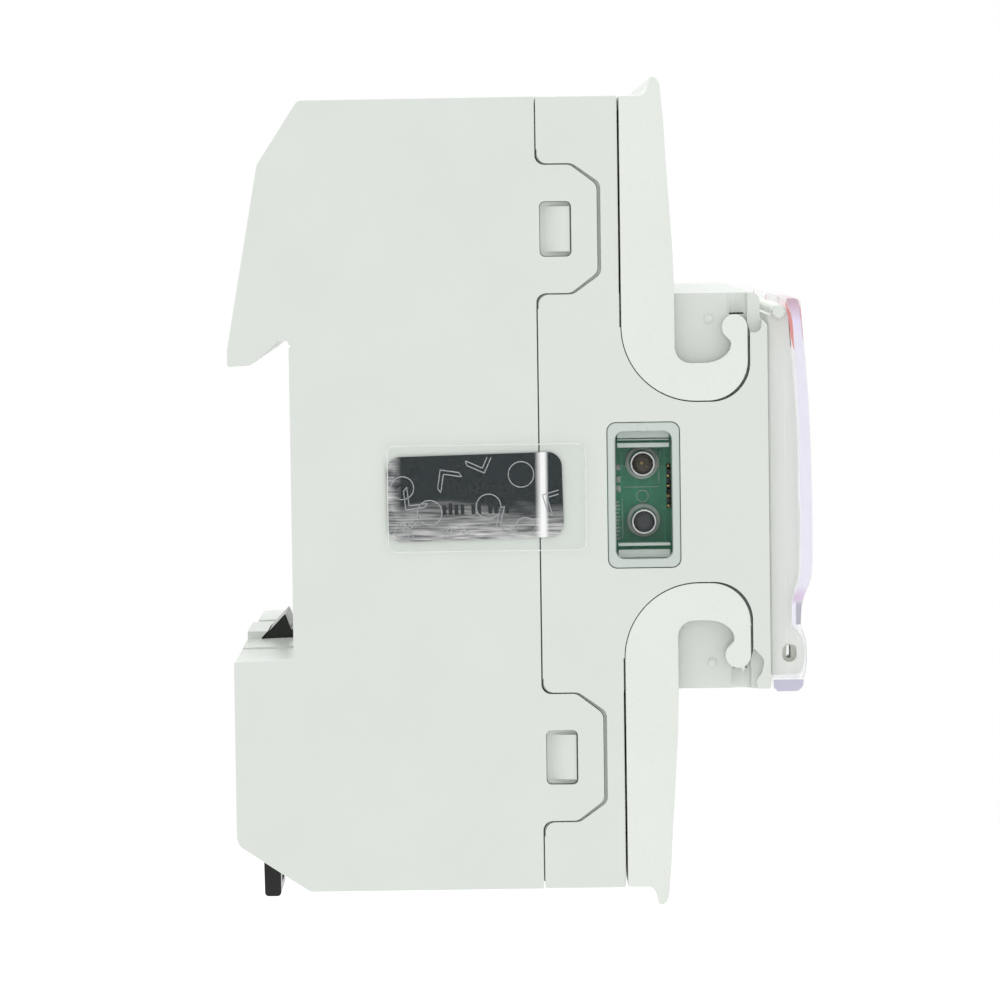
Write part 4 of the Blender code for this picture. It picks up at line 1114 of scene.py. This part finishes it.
def make_side_label():
    centre, size = face_of("calibration_label", "side")
    front, back = spans("calibration_label")[0]
    foil = rounded_rectangle(centre, (size[0] - 0.1, size[1] - 0.35), 1.65)
    foil = prism("foil_label", turned_by(foil, LABEL_TILT, centre), "side", front, back)
    finished(foil, foil_look, ["calibration_label"])
    rings = [(-8.2, 1.3, 1.3), (-5.2, -1.6, 1.4), (1.5, -1.1, 1.4), (5.3, 2.4, 1.45), (5.6, -3.6, 1.1)]
    rings.append((-8.3, -3.6, 0.9))
    chevrons = [
        (-3.4, 2.6, 35), (-7.4, -0.6, 140), (0.9, 3.4, 200), (-2.6, -3.6, 20), (2.9, -3.1, 120),
        (8.3, -0.4, 60), (-7.6, -3.4, 80),
    ]
    paths = [arc((centre[0] + a, centre[1] + b), r, 0, 345, 23) for a, b, r in rings]
    paths += [chevron((centre[0] + a, centre[1] + b), 3.0, turn) for a, b, turn in chevrons]
    field = (size[0] - 0.9, size[1] - 1.0)
    kept = [stretch for path in paths for stretch in clipped(path, centre, field)]
    kept = [(turned_by(path, LABEL_TILT, centre), closed) for path, closed in kept]
    emboss = strokes("foil_embossing", kept, 0.11, "side", front - 0.035, front + 0.02)
    finished(emboss, emboss_look)
    bars = []
    for row, first, tall, blocks in ((0.95, -3.7, 0.85, (4, 3, 5)), (-1.35, -3.5, 1.15, (4, 2, 2, 1))):
        across = first
        for count in blocks:
            for i in range(count):
                rise = 0.2 if i % 3 == 1 else 0.0
                bars.append(rectangle((centre[0] + across, centre[1] + row + rise / 2), (0.42, tall + rise)))
                across += 0.68
            across += 0.55
    bars = [turned_by(bar, LABEL_TILT, centre) for bar in bars]
    bars = prisms("foil_print", bars, "side", front - 0.03, front + 0.02)
    finished(bars, black_print_look)


def make_seal_film():
    film = eased(plate("seal_film", "label_overlay", "side", 0.9), 0.05, 2)
    finished(film, film_over_look, ["label_overlay"])
    centre, size = face_of("label_overlay", "side")
    front = lowest("label_overlay").x
    # A painted edge highlight along the film's rim.
    rim = [(rounded_rectangle(centre, grown_size(size, -0.14), 0.85), True)]
    rim = strokes("seal_film_rim", rim, 0.12, "side", front - 0.012, front + 0.01)
    finished(rim, rim_highlight_look)


# ---------------------------------------------------------------- terminals


def make_terminals():
    for place, line, x, z in terminal_places():
        node = f"terminal_screw_{place}_{line}"
        tip, front = spans(node)[1]
        length = front - tip
        profile = [
            (0, -0.05), (2.9, -0.05), (3.25, -0.12), (3.5, -0.3), (3.6, -0.6), (3.6, -2.75), (3.45, -2.9),
            (2.4, -2.9), (2.4, 0.5 - length), (1.9, -length), (0, -length),
        ]
        screw = turned(f"screw_{place}_{line}", profile, point(x, front, z), (0, -1, 0), 64)
        reach = (front - 1.6, front + 1)
        for half_width, half_height in ((2.7, 0.45), (0.45, 2.7)):
            cut(screw, box("slot", grown((x, x), half_width), reach, grown((z, z), half_height)))
        finished(eased(screw, 0.08, 2), zinc_look, [node], f"screw_{place}_{line}")
        node = f"terminal_cage_{place}_{line}"
        xs, (back, front), zs = spans(node)
        cage = eased(box(f"cage_{place}_{line}", xs, (back, front), zs), 0.5, 4)
        cut(
            cage,
            box("wire_window", grown(xs, -0.7), (back + 1.2, front - 3), grown(zs, 1)),
            rod("thread", "front", (front - 4, front + 1), (x, z), 2.55),
        )
        finished(eased(cage, 0.12, 2), zinc_look, [node], f"cage_{place}_{line}")


def make_data_terminals():
    block = eased(box("data_block", *spans("data_terminal_block")), 0.35, 3)
    profile = [(0, 0), (1.2, 0), (1.4, -0.07), (1.5, -0.2), (1.5, -1.3), (0.9, -1.3), (0.9, -4.6), (0, -4.6)]
    for i in (1, 2, 3, 4):
        node = f"data_screw_{i}"
        x, z = middle_of(node).xz
        cut(
            block,
            rod("screw_well", "front", (38.1, 42), (x, z), 1.8),
            rod("screw_bore", "front", (34.9, 39), (x, z), 1.1),
            prism("wire_hole", rounded_rectangle((x, 39.0), (2.8, 2.2), 0.5), "top", -32, -28.4),
        )
        front = -lowest(node).y
        screw = turned(f"small_screw_{i}", profile, point(x, front, z), (0, -1, 0), 40)
        cut(screw, box("slot", grown((x, x), 1.9), (front - 0.7, front + 1), grown((z, z), 0.22)))
        finished(eased(screw, 0.05, 2), zinc_look, [node], node)
    finished(eased(block, 0.1, 2), dark_look, ["data_terminal_block"])


# ---------------------------------------------------------------- rail clip


def make_rail_clip():
    tail = lowest("rail_clip").z
    outline = rounded([
        (-4.9, -18.45, 0.1), (-2.17, -15.6, 0.12), (-1.5, -17.5, 0.1), (-0.35, -17.5, 0.15),
        (-0.35, -20.4, 0.1), (-3.2, -20.4, 0.2), (-3.2, tail, 0.45), (-5.15, tail, 0.45),
        (-5.3, -38.0, 0), (-5.3, -19.3, 0.2),
    ], 4)
    clip = prism("sliding_clip", outline, "side", -CLIP_HALF_WIDTH, CLIP_HALF_WIDTH)
    eased(clip, 0.08, 3)
    cut(clip, box("release_slot", (-2.6, 2.6), (-6.5, -2.5), (tail + 1.2, tail + 2.8)))
    finished(eased(clip, 0.04, 2), clip_look, ["rail_clip"], "clip")


def make_clip_spring():
    """The coil that pushes the clip up."""
    low, high = lowest("clip_spring"), highest("clip_spring")
    wire, turns, steps = 0.175, 6, 24
    radius = (high.x - low.x) / 2 - wire
    depth = -(low.y + high.y) / 2
    curve = bpy.data.curves.new("spring_wire", "CURVE")
    curve.dimensions = "3D"
    curve.bevel_depth = wire * MM
    curve.bevel_resolution = 4
    curve.use_fill_caps = True
    spline = curve.splines.new("POLY")
    spline.points.add(turns * steps)
    for i, place in enumerate(spline.points):
        angle = 2 * math.pi * i / steps
        rise = min(1.0, max(0.0, (i / steps - 0.8) / (turns - 1.6)))
        z = low.z + wire + (high.z - low.z - 2 * wire) * rise
        place.co = (*point(radius * math.cos(angle), depth + radius * math.sin(angle), z), 1)
    wire_object = linked("spring_path", curve)
    bpy.context.view_layer.update()
    mesh = bpy.data.meshes.new_from_object(wire_object.evaluated_get(bpy.context.evaluated_depsgraph_get()))
    bpy.data.objects.remove(wire_object)
    mesh.shade_smooth()
    spring = finished(linked("clip_coil", mesh), steel_look, ["clip_spring"])
    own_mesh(spring)


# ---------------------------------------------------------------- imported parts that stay


def dress_inner_parts():
    looks = {
        "lcd_holder": white_look, "display_board": board_look, "metering_board": board_look,
        "supply_transformer": ferrite_look, "smoothing_capacitor": sleeve_look, "board_connector": dark_look,
    }
    for name, node in frame["nodes"].items():
        if name.startswith("conductor"):
            dress(node, copper_look)
        elif name.startswith("current_transformer"):
            dress(node, blue_look)
        elif name in looks:
            dress(node, looks[name])


# ---------------------------------------------------------------- stage


def emitting(name, colour, strength):
    made = bpy.data.materials.new(name)
    made.use_nodes = True
    shader = made.node_tree.nodes["Principled BSDF"]
    shader.inputs["Base Color"].default_value = (*colour, 1)
    shader.inputs["Emission Color"].default_value = (*colour, 1)
    shader.inputs["Emission Strength"].default_value = strength
    return made


def make_floor():
    bm = bmesh.new()
    bmesh.ops.create_circle(bm, cap_ends=True, segments=96, radius=3.0)
    bmesh.ops.translate(bm, vec=(0, 0, -0.42), verts=bm.verts)
    floor = from_bmesh("floor", bm)
    floor.data.materials.append(emitting("pale_floor", (0.9, 0.9, 0.9), 0.3))


def area_light(name, place, aim, size, power, colour=(1, 1, 1)):
    data = bpy.data.lights.new(name, "AREA")
    data.shape = "DISK"
    data.size = size
    data.energy = power
    data.color = colour
    lamp = linked(name, data)
    lamp.location = place
    lamp.rotation_euler = (Vector(aim) - Vector(place)).to_track_quat("-Z", "Y").to_euler()


def make_lights():
    world = bpy.data.worlds.new("studio")
    world.use_nodes = True
    world.node_tree.nodes["Background"].inputs["Color"].default_value = (1.0, 1.0, 1.0, 1)
    world.node_tree.nodes["Background"].inputs["Strength"].default_value = 1.0
    bpy.context.scene.world = world
    middle = (0, -0.027, 0)
    area_light("top_softbox", (0.05, -0.05, 0.75), middle, 0.9, 3.6)
    area_light("left_softbox", (-0.7, -0.6, 0.35), middle, 0.7, 0.35)
    area_light("rear_softbox", (-0.1, 0.9, 0.35), middle, 0.7, 1.5)


def make_camera():
    data = bpy.data.cameras.new("camera")
    data.sensor_width = 36
    data.lens = 179.8
    data.clip_start, data.clip_end = 0.02, 20
    camera = linked("camera", data)
    place, aim = Vector((-0.601, -0.02378, 0.0332)), Vector((-0.036, -0.02368, -0.00058))
    camera.location = place
    look = (aim - place).to_track_quat("-Z", "Y").to_matrix().to_4x4()
    camera.rotation_euler = (look @ Matrix.Rotation(math.radians(-0.8), 4, "Z")).to_euler()
    bpy.context.scene.camera = camera


make_base_shell()
make_cover_shell()
make_terminal_cover("upper_cover_shell", "upper_terminal_cover", "upper_cover", upside_down=False)
make_terminal_cover("lower_cover_shell", "lower_terminal_cover", "lower_cover", upside_down=True)
make_flap()
make_faceplate()
make_display()
make_front_label()
make_buttons()
make_lamp_lens()
make_port_window()
make_diodes()
make_optical_board()
make_side_label()
make_seal_film()
make_terminals()
make_data_terminals()
make_rail_clip()
make_clip_spring()
dress_inner_parts()
make_floor()
make_lights()
make_camera()
bpy.context.scene.view_settings.view_transform = "Standard"

bpy.context.view_layer.update()
